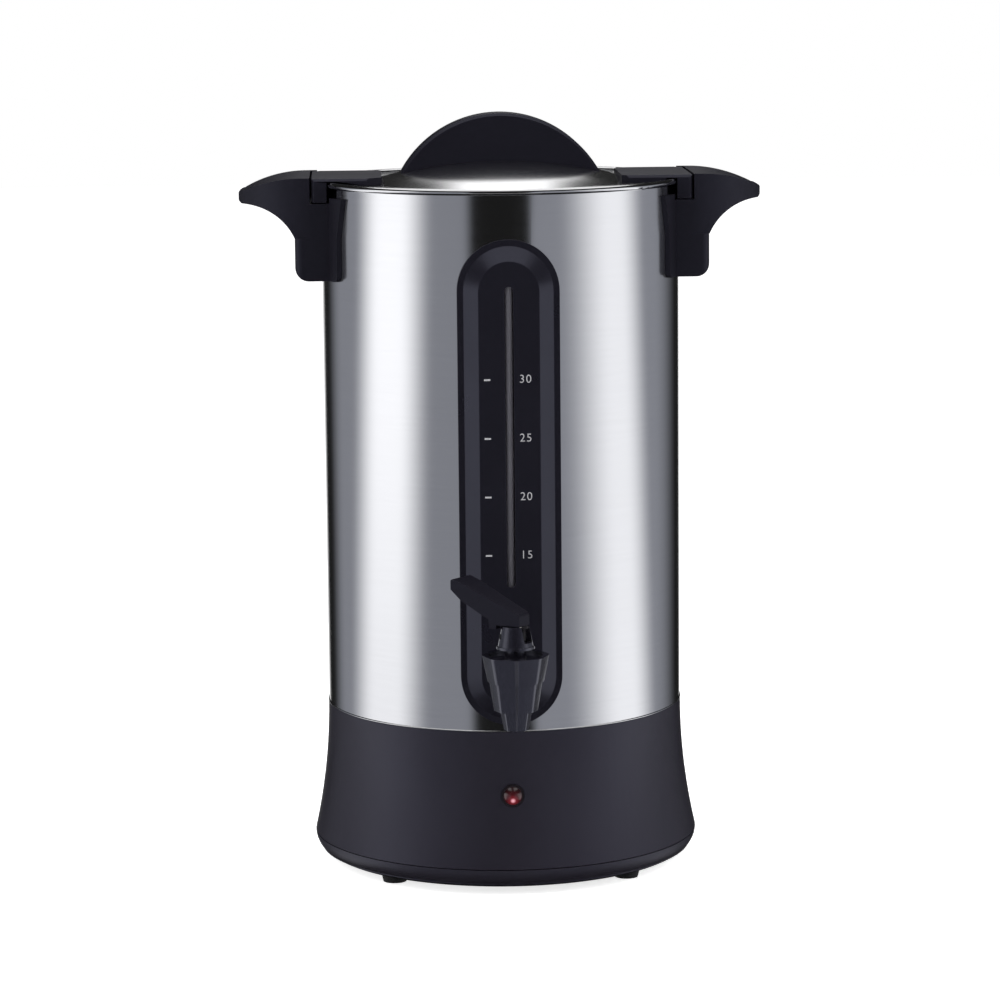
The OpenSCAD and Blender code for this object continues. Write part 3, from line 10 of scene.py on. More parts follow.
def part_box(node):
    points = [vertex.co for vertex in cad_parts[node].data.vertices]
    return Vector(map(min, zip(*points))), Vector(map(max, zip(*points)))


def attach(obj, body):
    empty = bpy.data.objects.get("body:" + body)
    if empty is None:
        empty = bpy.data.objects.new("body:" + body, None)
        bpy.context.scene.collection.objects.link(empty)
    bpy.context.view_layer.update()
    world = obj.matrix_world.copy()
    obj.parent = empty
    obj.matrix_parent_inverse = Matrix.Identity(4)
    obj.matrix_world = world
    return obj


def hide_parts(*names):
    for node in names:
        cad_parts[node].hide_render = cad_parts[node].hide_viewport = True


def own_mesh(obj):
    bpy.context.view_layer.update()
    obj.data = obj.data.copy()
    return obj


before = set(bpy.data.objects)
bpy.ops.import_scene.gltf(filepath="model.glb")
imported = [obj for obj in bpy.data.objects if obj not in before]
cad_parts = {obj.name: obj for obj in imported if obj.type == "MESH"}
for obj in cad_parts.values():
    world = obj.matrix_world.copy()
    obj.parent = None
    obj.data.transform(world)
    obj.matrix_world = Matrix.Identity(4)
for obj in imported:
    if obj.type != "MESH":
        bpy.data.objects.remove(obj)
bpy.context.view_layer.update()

bl_info = {
    "name": "Coffee Urn",
    "version": (1, 0, 0),
    "blender": (4, 5, 0),
    "location": "View3D > Sidebar > Urn",
    "description": "Finishes a percolator coffee urn: steel, plastics, gauge marks, lamp and studio",
    "category": "Object",
}

MM = 0.001


def middle(node):
    """Middle of a node's box."""
    low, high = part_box(node)
    return Vector([(a + b) / 2 for a, b in zip(low, high)])


# The tank stands upright on this axis.
AXIS = middle("tank")
PANEL_FACE_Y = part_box("gauge_panel")[0][1]
TANK_RADIUS = 105 * MM
# The hem at the tank's foot: radius of its round section, and how many sides and steps it has.
HEM_RADIUS = 0.5 * MM
HEM_SIDES, HEM_STEPS = 16, 160
# The weld seam: half-widths of its core and its soft edge, how far it wanders, and how far behind
# the axis it is at full strength.
WELD_CORE, WELD_EDGE, WELD_WANDER, WELD_SIDE = 0.5 * MM, 1.1 * MM, 0.1 * MM, 50 * MM
# The pilot lamp: how far its bulb sits below the lens's middle, and the reach of its glow.
BULB_DROP, GLOW_REACH = 2.4 * MM, 6.4 * MM
# Printed scale: places of the marks and numerals beside the axis, how far the numerals sit above
# their marks, the thickness of a mark's ink and half that of a numeral's, and how much the numerals'
# strokes are thinned.
MARK_X, NUMERAL_X, NUMERAL_RISE = -12.6 * MM, 8.9 * MM, 0.2 * MM
MARK_INK, NUMERAL_INK, NUMERAL_THINNING = 0.08 * MM, 0.04 * MM, 0.04 * MM
SCALE_CUPS = (15, 20, 25, 30)
# What the mouldings reflect is tinted a little blue.
PLASTIC_TINT = (0.76, 0.78, 1.0, 1)


class UrnFinish(PropertyGroup):
    """Colours and gloss of the urn's finishes."""
    steel: FloatVectorProperty(name="Steel", description="Colour of the stainless steel",
                               subtype="COLOR", size=3, min=0, max=1, default=(0.80, 0.80, 0.81))
    tank_roughness: FloatProperty(name="Tank roughness", description="How satin the tank's polish is",
                                  default=0.13, min=0.02, max=0.6, subtype="FACTOR")
    grain_depth: FloatProperty(name="Grain depth", description="Strength of the grain round the tank",
                               default=0.015, min=0, max=1, subtype="FACTOR")
    plastic: FloatVectorProperty(name="Plastic", description="Colour of the black mouldings",
                                 subtype="COLOR", size=3, min=0, max=1, default=(0.0082, 0.0076, 0.0118))
    base_plastic: FloatVectorProperty(name="Base plastic", description="Colour of the base",
                                      subtype="COLOR", size=3, min=0, max=1, default=(0.0150, 0.0130, 0.0190))
    lamp: FloatVectorProperty(name="Pilot lamp", description="Colour of the pilot lamp's glow",
                              subtype="COLOR", size=3, min=0, max=1, default=(0.22, 0.016, 0.025))


class UrnGauge(PropertyGroup):
    """Sizes of the gauge's printed scale."""
    mark_length: FloatProperty(name="Mark length", description="Length of one printed mark",
                               default=3.6 * MM, unit="LENGTH")
    mark_height: FloatProperty(name="Mark height", description="Thickness of one printed mark's line",
                               default=1.0 * MM, unit="LENGTH")
    numeral_size: FloatProperty(name="Numeral size", description="Height of the type of the numerals",
                                default=6.6 * MM, unit="LENGTH")
    lowest: FloatProperty(name="Lowest mark", description="Height of the lowest mark above the table",
                          default=199.5 * MM, unit="LENGTH")
    step: FloatProperty(name="Step", description="Distance between two marks",
                        default=33.4 * MM, unit="LENGTH")
    ink: FloatVectorProperty(name="Ink", description="Colour of the printed scale",
                             subtype="COLOR", size=3, min=0, max=1, default=(0.36, 0.36, 0.38))


class UrnStudio(PropertyGroup):
    """Light and camera."""
    key_power: FloatProperty(name="Side lights", description="Power of each soft side light",
                             default=26.0, min=0, unit="POWER")
    sky: FloatProperty(name="Room light", description="Strength of the even light from the room",
                       default=0.55, min=0)
    screens: FloatProperty(name="Screens", description="Brightness of the screens that the steel mirrors",
                           default=1.0, min=0)
    floor_glow: FloatProperty(name="Floor glow", description="How far the camera sees the floor as white",
                              default=0.75, min=0)
    camera_distance: FloatProperty(name="Camera distance", description="Distance from the tank's axis",
                                   default=2.2001, unit="LENGTH")
    camera_height: FloatProperty(name="Camera height", description="Height of the camera",
                                 default=0.551, unit="LENGTH")
    camera_turn: FloatProperty(name="Camera turn", description="Turn of the camera round the tank",
                               default=radians(-2.3), unit="ROTATION")
    camera_pitch: FloatProperty(name="Camera pitch", description="How far the camera looks down",
                                default=0.152, unit="ROTATION")
    camera_roll: FloatProperty(name="Camera roll", description="Roll of the camera",
                               default=-0.0095, unit="ROTATION")


# ---------------------------------------------------------------- node helpers

def blank_material(name):
    """A material with only a Principled shader; returns it with its nodes."""
    material = bpy.data.materials.new(name)
    material.use_nodes = True
    nodes = material.node_tree.nodes
    shader = nodes.get("Principled BSDF")
    return material, nodes, material.node_tree.links, shader


def object_coords(nodes, links, scale=(1, 1, 1), location=(0, 0, 0)):
    """Object coordinates through a Mapping node."""
    coords = nodes.new("ShaderNodeTexCoord")
    mapping = nodes.new("ShaderNodeMapping")
    mapping.inputs["Location"].default_value = location
    mapping.inputs["Scale"].default_value = scale
    links.new(coords.outputs["Object"], mapping.inputs["Vector"])
    return mapping.outputs["Vector"]


def axis_coords(nodes, links):
    """Object coordinates measured from the foot of the tank's axis."""
    return object_coords(nodes, links, location=(-AXIS.x, -AXIS.y, 0))


def parts(nodes, links, vector):
    """The outputs X, Y and Z of a vector."""
    split = nodes.new("ShaderNodeSeparateXYZ")
    links.new(vector, split.inputs["Vector"])
    return split.outputs


def noise(nodes, links, vector, scale, detail=3.0, roughness=0.5):
    """A noise texture's value."""
    texture = nodes.new("ShaderNodeTexNoise")
    texture.inputs["Scale"].default_value = scale
    texture.inputs["Detail"].default_value = detail
    texture.inputs["Roughness"].default_value = roughness
    links.new(vector, texture.inputs["Vector"])
    return texture.outputs["Fac"]


def spread(nodes, links, value, low, high, from_low=0.0, from_high=1.0):
    """Maps a value to the range from low to high."""
    node = nodes.new("ShaderNodeMapRange")
    node.inputs["From Min"].default_value = from_low
    node.inputs["From Max"].default_value = from_high
    node.inputs["To Min"].default_value = low
    node.inputs["To Max"].default_value = high
    links.new(value, node.inputs["Value"])
    return node.outputs["Result"]


def window(nodes, links, value, start, full, fade, end):
    """1 where a value lies between full and fade, falling smoothly to 0 at start and end."""
    edges = []
    for nought, one in ((start, full), (end, fade)):
        edge = nodes.new("ShaderNodeMapRange")
        edge.interpolation_type = "SMOOTHSTEP"
        edge.inputs["From Min"].default_value = min(nought, one)
        edge.inputs["From Max"].default_value = max(nought, one)
        edge.inputs["To Min"].default_value = 0.0 if nought < one else 1.0
        edge.inputs["To Max"].default_value = 1.0 if nought < one else 0.0
        links.new(value, edge.inputs["Value"])
        edges.append(edge.outputs["Result"])
    return math(nodes, links, "MULTIPLY", *edges)


def math(nodes, links, operation, first, second=None):
    """A Math node with sockets or numbers as inputs."""
    node = nodes.new("ShaderNodeMath")
    node.operation = operation
    for socket, value in zip(node.inputs, (first, second)):
        if value is None:
            continue
        if isinstance(value, (int, float)):
            socket.default_value = value
        else:
            links.new(value, socket)
    return node.outputs["Value"]


def reach(nodes, links, outputs, axes):
    """Length of a vector along two of its axes only."""
    squares = [math(nodes, links, "MULTIPLY", outputs[axis], outputs[axis]) for axis in axes]
    return math(nodes, links, "SQRT", math(nodes, links, "ADD", *squares))


def tinted(nodes, links, value, dark, light):
    """Mixes two colours by a value."""
    ramp = nodes.new("ShaderNodeValToRGB")
    ramp.color_ramp.elements[0].color = (*dark, 1)
    ramp.color_ramp.elements[1].color = (*light, 1)
    links.new(value, ramp.inputs["Fac"])
    return ramp.outputs["Color"]


def raised(nodes, links, shader, height, strength, distance=0.0002):
    """Feeds a height through a Bump node into the shader's normal."""
    bump = nodes.new("ShaderNodeBump")
    bump.inputs["Strength"].default_value = strength
    bump.inputs["Distance"].default_value = distance
    links.new(height, bump.inputs["Height"])
    links.new(bump.outputs["Normal"], shader.inputs["Normal"])


def scaled(colour, factor):
    """A colour made lighter or darker."""
    return tuple(min(1.0, part * factor) for part in colour)


def shades(nodes, links, shader, value, colour, dark, light):
    """Colours a shader from a darker to a lighter shade of a colour, by a value."""
    mixed = tinted(nodes, links, value, scaled(colour, dark), scaled(colour, light))
    links.new(mixed, shader.inputs["Base Color"])


def gloss_range(nodes, links, shader, value, low, high, from_low=0.0, from_high=1.0):
    """Sets a shader's roughness between low and high, by a value."""
    roughness = spread(nodes, links, value, low, high, from_low, from_high)
    links.new(roughness, shader.inputs["Roughness"])


def ring_coords(nodes, links, around, along):
    """Coordinates round the tank's axis: (turn * around, radius * along, height * along)."""
    place = parts(nodes, links, axis_coords(nodes, links))
    turn = math(nodes, links, "ARCTAN2", place["X"], place["Y"])
    radius = reach(nodes, links, place, "XY")
    join = nodes.new("ShaderNodeCombineXYZ")
    links.new(math(nodes, links, "MULTIPLY", turn, around), join.inputs["X"])
    links.new(math(nodes, links, "MULTIPLY", radius, along), join.inputs["Y"])
    links.new(math(nodes, links, "MULTIPLY", place["Z"], along), join.inputs["Z"])
    return join.outputs["Vector"]


# ---------------------------------------------------------------- finishes

def grained_steel(name, colour, roughness, grain, around=3.0, along=900.0, seam=False):
    """Stainless steel with a fine grain round the tank's axis, and a ground weld seam if asked for."""
    material, nodes, links, shader = blank_material(name)
    shader.inputs["Metallic"].default_value = 1.0
    ring = ring_coords(nodes, links, around, along)
    lines = noise(nodes, links, ring, 1.0, 4.0, 0.65)
    cloud = noise(nodes, links, object_coords(nodes, links), 14.0, 3.0)
    relief = lines
    tone = lines
    if seam:
        weld = weld_line(nodes, links)
        relief = math(nodes, links, "ADD", lines, math(nodes, links, "MULTIPLY", weld, 3.0))
        tone = math(nodes, links, "SUBTRACT", lines, math(nodes, links, "MULTIPLY", weld, 0.4))
    shades(nodes, links, shader, tone, colour, 0.95, 1.02)
    lines_part = spread(nodes, links, lines, -0.02, 0.02)
    cloud_part = spread(nodes, links, cloud, roughness - 0.015, roughness + 0.02, 0.3, 0.7)
    links.new(math(nodes, links, "ADD", lines_part, cloud_part), shader.inputs["Roughness"])
    raised(nodes, links, shader, relief, grain, 0.0001)
    return material


def weld_line(nodes, links):
    """1 along the upright weld seam at the back of the tank, 0 elsewhere."""
    at_axis = axis_coords(nodes, links)
    place = parts(nodes, links, at_axis)
    ripple = noise(nodes, links, at_axis, 160.0, 2.0)
    wander = spread(nodes, links, ripple, -WELD_WANDER, WELD_WANDER, 0.3, 0.7)
    across = math(nodes, links, "ADD", place["X"], wander)
    line = window(nodes, links, across, -WELD_EDGE, -WELD_CORE, WELD_CORE, WELD_EDGE)
    at_back = window(nodes, links, place["Y"], 0.0, WELD_SIDE, 1.0, 2.0)
    return math(nodes, links, "MULTIPLY", line, at_back)


def buffed_steel(name, colour):
    """Buffed steel with faint rings round the lid's middle."""
    material, nodes, links, shader = blank_material(name)
    shader.inputs["Metallic"].default_value = 1.0
    ring = ring_coords(nodes, links, 1.5, 420.0)
    rings = noise(nodes, links, ring, 1.0, 3.0)
    smear = noise(nodes, links, object_coords(nodes, links), 22.0, 4.0)
    shades(nodes, links, shader, rings, colour, 0.97, 1.02)
    smear_part = spread(nodes, links, smear, 0.14, 0.18)
    rings_part = spread(nodes, links, rings, 0.0, 0.02)
    links.new(math(nodes, links, "ADD", smear_part, rings_part), shader.inputs["Roughness"])
    raised(nodes, links, shader, rings, 0.01, 0.0001)
    return material


def moulded_plastic(name, colour, roughness, pebble=900.0, relief=0.05, specular=0.5):
    """Moulded plastic: a fine pebbled skin, slight cloudiness and uneven gloss."""
    material, nodes, links, shader = blank_material(name)
    vector = object_coords(nodes, links)
    cloud = noise(nodes, links, vector, 18.0, 4.0)
    skin = noise(nodes, links, vector, pebble, 2.0)
    shades(nodes, links, shader, cloud, colour, 0.86, 1.14)
    gloss_range(nodes, links, shader, cloud, roughness - 0.045, roughness + 0.045, 0.3, 0.7)
    shader.inputs["Specular IOR Level"].default_value = specular
    shader.inputs["Specular Tint"].default_value = PLASTIC_TINT
    raised(nodes, links, shader, skin, relief, 0.0001)
    return material


def soft_rubber(name, colour, roughness=0.75, translucent=0.0):
    """Rubber or silicone: matt, with a grainy skin."""
    material, nodes, links, shader = blank_material(name)
    vector = object_coords(nodes, links)
    grains = noise(nodes, links, vector, 1400.0, 3.0)
    patches = noise(nodes, links, vector, 90.0, 3.0)
    shades(nodes, links, shader, patches, colour, 0.85, 1.15)
    gloss_range(nodes, links, shader, grains, roughness - 0.08, roughness + 0.08)
    shader.inputs["Subsurface Weight"].default_value = translucent
    shader.inputs["Subsurface Scale"].default_value = 0.002
    raised(nodes, links, shader, grains, 0.2, 0.0001)
    return material


def turned_metal(name, colour, roughness, scale=260.0):
    """Small metal parts: uneven polish and fine scratches."""
    material, nodes, links, shader = blank_material(name)
    shader.inputs["Metallic"].default_value = 1.0
    scratches = noise(nodes, links, object_coords(nodes, links, (1, 6, 1)), scale, 5.0, 0.7)
    shades(nodes, links, shader, scratches, colour, 0.88, 1.06)
    gloss_range(nodes, links, shader, scratches, roughness - 0.07, roughness + 0.1)
    raised(nodes, links, shader, scratches, 0.08, 0.0001)
    return material


def cast_metal(name, colour):
    """Cast aluminium: a sandy skin with darker hollows."""
    material, nodes, links, shader = blank_material(name)
    shader.inputs["Metallic"].default_value = 1.0
    vector = object_coords(nodes, links)
    sand = noise(nodes, links, vector, 800.0, 6.0, 0.7)
    shades(nodes, links, shader, sand, colour, 0.7, 1.05)
    gloss_range(nodes, links, shader, sand, 0.42, 0.62)
    raised(nodes, links, shader, sand, 0.45, 0.0003)
    return material


def woven_wrap(name, colour):
    """The keep-warm band's wrap: glass-fibre threads over mica."""
    material, nodes, links, shader = blank_material(name)
    ring = ring_coords(nodes, links, 60.0, 900.0)
    threads = nodes.new("ShaderNodeTexWave")
    threads.inputs["Scale"].default_value = 1.0
    threads.inputs["Distortion"].default_value = 1.2
    links.new(ring, threads.inputs["Vector"])
    stains = noise(nodes, links, object_coords(nodes, links), 40.0, 4.0)
    both = math(nodes, links, "MULTIPLY", threads.outputs["Fac"], stains)
    shades(nodes, links, shader, both, colour, 0.55, 1.25)
    gloss_range(nodes, links, shader, both, 0.6, 0.85)
    raised(nodes, links, shader, threads.outputs["Fac"], 0.4, 0.0003)
    return material


def lamp_lens(name, colour):
    """Smoked lens: dark, glossy, with the glow of the small lamp that sits low behind it."""
    material, nodes, links, shader = blank_material(name)
    centre = middle("pilot_lens")
    at_bulb = object_coords(nodes, links, location=(-centre.x, 0, -centre.z + BULB_DROP))
    radius = reach(nodes, links, parts(nodes, links, at_bulb), "XZ")
    ripple = math(nodes, links, "SINE", math(nodes, links, "MULTIPLY", radius, 5200.0))
    halo = nodes.new("ShaderNodeValToRGB")
    stops = halo.color_ramp.elements
    stops[0].color = (0.95, 0.55, 0.60, 1)
    stops[1].color = (*scaled(colour, 0.03), 1)
    for place, shade in ((0.12, (0.75, 0.30, 0.36)),
                         (0.26, scaled(colour, 0.75)),
                         (0.55, scaled(colour, 0.22))):
        stop = stops.new(place)
        stop.color = (*shade, 1)
    links.new(spread(nodes, links, radius, 0.0, 1.0, 0.0, GLOW_REACH), halo.inputs["Fac"])
    links.new(halo.outputs["Color"], shader.inputs["Emission Color"])
    shader.inputs["Emission Strength"].default_value = 1.0
    shader.inputs["Base Color"].default_value = (0.010, 0.004, 0.005, 1)
    shader.inputs["Roughness"].default_value = 0.2
    shader.inputs["Coat Weight"].default_value = 0.5
    shader.inputs["Coat Roughness"].default_value = 0.15
    raised(nodes, links, shader, ripple, 0.12, 0.0001)
    return material


def sight_glass(name):
    """Sight tube: milky grey, drawn plastic with faint streaks along it."""
    material, nodes, links, shader = blank_material(name)
    streaks = noise(nodes, links, object_coords(nodes, links, (1, 1, 0.004)), 900.0, 2.0)
    milk = tinted(nodes, links, streaks, (0.175, 0.170, 0.200), (0.235, 0.228, 0.265))
    links.new(milk, shader.inputs["Base Color"])
    gloss_range(nodes, links, shader, streaks, 0.28, 0.4)
    shader.inputs["IOR"].default_value = 1.47
    shader.inputs["Transmission Weight"].default_value = 0.2
    raised(nodes, links, shader, streaks, 0.03, 0.0001)
    return material


def printed_ink(name, colour):
    """Screen-printed ink: slightly uneven cover."""
    material, nodes, links, shader = blank_material(name)
    vector = object_coords(nodes, links)
    cover = noise(nodes, links, vector, 2200.0, 3.0)
    shades(nodes, links, shader, cover, colour, 0.85, 1.1)
    gloss_range(nodes, links, shader, cover, 0.45, 0.6)
    raised(nodes, links, shader, cover, 0.1, 0.00005)
    return material


# ---------------------------------------------------------------- piece helpers

# An upright edge counts as a corner from this length on, and between these angles of its faces.
CORNER_LENGTH, CORNER_LEAST, CORNER_MOST = 5 * MM, radians(30), radians(70)


def coat(node, material):
    """Gives a CAD node a finish."""
    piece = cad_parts[node]
    if not piece.material_slots:
        piece.data.materials.append(material)
    for slot in piece.material_slots:
        slot.material = material


def nothing_selected():
    if bpy.context.object and bpy.context.object.mode != "OBJECT":
        bpy.ops.object.mode_set(mode="OBJECT")
    bpy.ops.object.select_all(action="DESELECT")


def only(piece):
    """Selects one piece and makes it active."""
    nothing_selected()
    piece.select_set(True)
    bpy.context.view_layer.objects.active = piece


def upright_corners(piece, width):
    """Rounds the outer upright corners of a piece that is in edit mode."""
    mesh = bmesh.from_edit_mesh(piece.data)
    bpy.ops.mesh.select_all(action="DESELECT")
    for edge in mesh.edges:
        along = edge.verts[1].co - edge.verts[0].co
        upright = along.length > CORNER_LENGTH and abs(along.z) > 0.9 * along.length
        if len(edge.link_faces) == 2 and upright:
            edge.select_set(CORNER_LEAST < edge.calc_face_angle_signed(0.0) < CORNER_MOST)
    bmesh.update_edit_mesh(piece.data)
    bpy.ops.mesh.bevel(offset=width, segments=4, affect="EDGES", clamp_overlap=True)


def eased_copy(node, name, body, material, width, angle=radians(24), segments=3, corners=0.0):
    """A moulding with its real rounded edges: a node's shape, merged, with its edges eased."""
    only(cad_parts[node])
    bpy.ops.object.duplicate()
    piece = bpy.context.object
    piece.name = piece.data.name = name
    only(piece)
    bpy.ops.object.mode_set(mode="EDIT")
    bpy.ops.mesh.select_all(action="SELECT")
    bpy.ops.mesh.remove_doubles(threshold=0.03 * MM)
    bpy.ops.mesh.dissolve_limited(angle_limit=radians(1), use_dissolve_boundaries=False)
    if corners:
        upright_corners(piece, corners)
    bpy.ops.object.mode_set(mode="OBJECT")
    bpy.ops.object.shade_smooth()
    bevel = piece.modifiers.new("eased edges", "BEVEL")
    bevel.width = width
    bevel.segments = segments
    bevel.limit_method = "ANGLE"
    bevel.angle_limit = angle
    bevel.harden_normals = True
    bpy.ops.object.modifier_apply(modifier=bevel.name)
    flats = piece.modifiers.new("flat faces stay flat", "WEIGHTED_NORMAL")
    flats.mode = "FACE_AREA"
    bpy.ops.object.modifier_apply(modifier=flats.name)
    piece.data.materials.clear()
    piece.data.materials.append(material)
    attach(piece, body)
    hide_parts(node)
    return piece


def settle(piece, name, body, material):
    """Puts a new piece's place into its mesh and hangs it on its body."""
    only(piece)
    bpy.ops.object.transform_apply(location=True, rotation=True, scale=True)
    piece.name = piece.data.name = name
    piece.data.materials.clear()
    piece.data.materials.append(material)
    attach(piece, body)
    return piece


# ---------------------------------------------------------------- operators

class URN_OT_tank(Operator):
    """Finishes the tank in satin steel"""
    bl_idname = "urn.tank"
    bl_label = "Tank"

    def execute(self, context):
        finish = context.scene.urn_finish
        steel = grained_steel("satin steel", finish.steel, finish.tank_roughness, finish.grain_depth,
                              seam=True)
        coat("tank", steel)
        self.hem(steel)
        return {"FINISHED"}

    def hem(self, steel):
        """The small rolled hem round the foot of the tank, spun from a round section."""
        foot_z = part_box("base_shell")[1][2]
        nothing_selected()
        bpy.ops.mesh.primitive_circle_add(
            vertices=HEM_SIDES, radius=HEM_RADIUS, fill_type="NOTHING", rotation=(radians(90), 0, 0),
            location=(AXIS.x + TANK_RADIUS, AXIS.y, foot_z + HEM_RADIUS))
        ring = bpy.context.object
        bpy.ops.object.transform_apply(location=True, rotation=True, scale=True)
        bpy.ops.object.mode_set(mode="EDIT")
        bpy.ops.mesh.select_all(action="SELECT")
        bpy.ops.mesh.spin(steps=HEM_STEPS, angle=2 * pi, center=AXIS, axis=(0, 0, 1))
        bpy.ops.mesh.select_all(action="SELECT")
        bpy.ops.mesh.remove_doubles(threshold=0.02 * MM)
        bpy.ops.mesh.normals_make_consistent(inside=False)
        bpy.ops.object.mode_set(mode="OBJECT")
        bpy.ops.object.shade_smooth()
        settle(ring, "tank_hem", "urn", steel)


class URN_OT_base(Operator):
    """Finishes the base shell, the pan, the feet, the urn's screws and nuts and the thermal cut-out"""
    bl_idname = "urn.base"
    bl_label = "Base"

    def execute(self, context):
        finish = context.scene.urn_finish
        plastic = moulded_plastic("base plastic", finish.base_plastic, 0.4)
        coat("base_shell", plastic)
        coat("base_pan", plastic)
        coat("feet", soft_rubber("foot rubber", (0.012, 0.012, 0.013)))
        fasteners = turned_metal("bright screws", (0.66, 0.66, 0.67), 0.28)
        for node in ("pan_screws", "base_stud", "base_nut", "inlet_screws", "panel_screws", "tap_nut",
                     "handle_screws", "grip_screws", "latch_screws", "thermal_cutout"):
            coat(node, fasteners)
        return {"FINISHED"}


class URN_OT_lamp(Operator):
    """Finishes the pilot lamp and the power inlet"""
    bl_idname = "urn.lamp"
    bl_label = "Lamp and inlet"

    def execute(self, context):
        finish = context.scene.urn_finish
        coat("pilot_lens", lamp_lens("lamp red", finish.lamp))
        coat("pilot_body", moulded_plastic("lamp nylon", (0.012, 0.008, 0.009), 0.35, 1600.0))
        coat("power_inlet", moulded_plastic("inlet phenolic", (0.014, 0.014, 0.014), 0.55, 1200.0))
        coat("inlet_pins", turned_metal("pin brass", (0.80, 0.72, 0.52), 0.25))
        return {"FINISHED"}


class URN_OT_heater(Operator):
    """Finishes the heating parts in the base"""
    bl_idname = "urn.heater"
    bl_label = "Heating parts"

    def execute(self, context):
        coat("heater_plate", cast_metal("cast aluminium", (0.66, 0.66, 0.66)))
        coat("brew_element", turned_metal("element sheath", (0.30, 0.27, 0.25), 0.45))
        coat("keep_warm_band", woven_wrap("mica wrap", (0.50, 0.45, 0.36)))
        coat("thermostat", moulded_plastic("dark phenolic", (0.035, 0.022, 0.016), 0.5, 1500.0))
        return {"FINISHED"}


class URN_OT_gauge(Operator):
    """Finishes the gauge panel, the sight tube, its elbows and the tap's gaskets, and prints the scale"""
    bl_idname = "urn.gauge"
    bl_label = "Gauge"

    def execute(self, context):
        finish, gauge = context.scene.urn_finish, context.scene.urn_gauge
        eased_copy("gauge_panel", "gauge_moulding", "urn",
                   moulded_plastic("panel plastic", finish.plastic, 0.3, 700.0, 0.03), 0.5 * MM)
        coat("sight_tube", sight_glass("sight glass"))
        coat("tube_elbows", soft_rubber("silicone", (0.62, 0.61, 0.57), 0.5, 0.3))
        coat("tap_gaskets", bpy.data.materials["silicone"])
        ink = printed_ink("scale ink", gauge.ink)
        self.marks(gauge, ink)
        self.numerals(gauge, ink)
        return {"FINISHED"}

    def marks(self, gauge, ink):
        nothing_selected()
        for step, cups in enumerate(SCALE_CUPS):
            bpy.ops.mesh.primitive_cube_add(
                size=1, location=(AXIS.x + MARK_X, PANEL_FACE_Y, gauge.lowest + step * gauge.step))
            bar = bpy.context.object
            bar.scale = (gauge.mark_length, MARK_INK, gauge.mark_height)
            bpy.ops.object.transform_apply(location=True, rotation=True, scale=True)
            bevel = bar.modifiers.new("soft ends", "BEVEL")
            bevel.width = 0.03 * MM
            bevel.segments = 2
            bpy.ops.object.modifier_apply(modifier=bevel.name)
            settle(bar, "gauge_mark_%d" % cups, "urn", ink)

    def numerals(self, gauge, ink):
        for step, cups in enumerate(SCALE_CUPS):
            nothing_selected()
            height = gauge.lowest + step * gauge.step + NUMERAL_RISE
            bpy.ops.object.text_add(
                location=(AXIS.x + NUMERAL_X, PANEL_FACE_Y, height), rotation=(radians(90), 0, 0))
            text = bpy.context.object
            text.data.body = str(cups)
            text.data.size = gauge.numeral_size
            text.data.extrude = NUMERAL_INK
            text.data.align_x = "CENTER"
            text.data.align_y = "CENTER"
            text.data.space_character = 1.15
            text.data.offset = -NUMERAL_THINNING
            bpy.ops.object.convert(target="MESH")
            settle(bpy.context.object, "gauge_numeral_%d" % cups, "urn", ink)


class URN_OT_tap(Operator):
    """Finishes the tap, its lever and its valve"""
    bl_idname = "urn.tap"
    bl_label = "Tap"

    def execute(self, context):
        finish = context.scene.urn_finish
        gloss = moulded_plastic("tap plastic", finish.plastic, 0.2, 600.0, 0.03, specular=0.8)
        shader = gloss.node_tree.nodes["Principled BSDF"]
        shader.inputs["Coat Weight"].default_value = 0.4
        shader.inputs["Coat Roughness"].default_value = 0.12
        eased_copy("tap_body", "tap_moulding", "urn", gloss, 0.35 * MM, corners=1.6 * MM)
        coat("tap_bonnet", gloss)
        eased_copy("lever_hub", "hub_moulding", "swivel", gloss, 0.3 * MM, corners=1.2 * MM)
        matt = moulded_plastic("lever plastic", finish.plastic, 0.5, 600.0, 0.03, specular=0.2)
        eased_copy("tap_lever", "lever_moulding", "lever", matt, 0.5 * MM)
        coat("lever_pin", turned_metal("blackened pin", (0.03, 0.03, 0.033), 0.4))
        coat("tap_stem", moulded_plastic("acetal", (0.55, 0.53, 0.47), 0.4, 900.0))
        coat("seat_cup", bpy.data.materials["silicone"])
        self.spring(turned_metal("spring wire", (0.60, 0.60, 0.62), 0.3, 600.0))
        return {"FINISHED"}

    def spring(self, wire):
        """The return spring, which rides on the stem."""
        only(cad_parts["tap_spring"])
        bpy.ops.object.duplicate()
        piece = bpy.context.object
        piece.name = piece.data.name = "return_spring"
        only(piece)
        bpy.ops.object.mode_set(mode="EDIT")
        bpy.ops.mesh.select_all(action="SELECT")
        bpy.ops.mesh.remove_doubles(threshold=0.005 * MM)
        bpy.ops.object.mode_set(mode="OBJECT")
        bpy.ops.object.shade_smooth()
        piece.data.materials.clear()
        piece.data.materials.append(wire)
        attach(piece, "valve")
        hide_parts("tap_spring")
        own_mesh(piece)


class URN_OT_handles(Operator):
    """Finishes the two hook handles and their washers"""
    bl_idname = "urn.handles"
    bl_label = "Handles"

    def execute(self, context):
        finish = context.scene.urn_finish
        plastic = moulded_plastic("handle plastic", finish.plastic, 0.45, specular=0.3)
        for side in ("left", "right"):
            eased_copy(side + "_handle", side + "_handle_moulding", "urn", plastic,
                       0.8 * MM)
        coat("handle_washers", bpy.data.materials["silicone"])
        return {"FINISHED"}


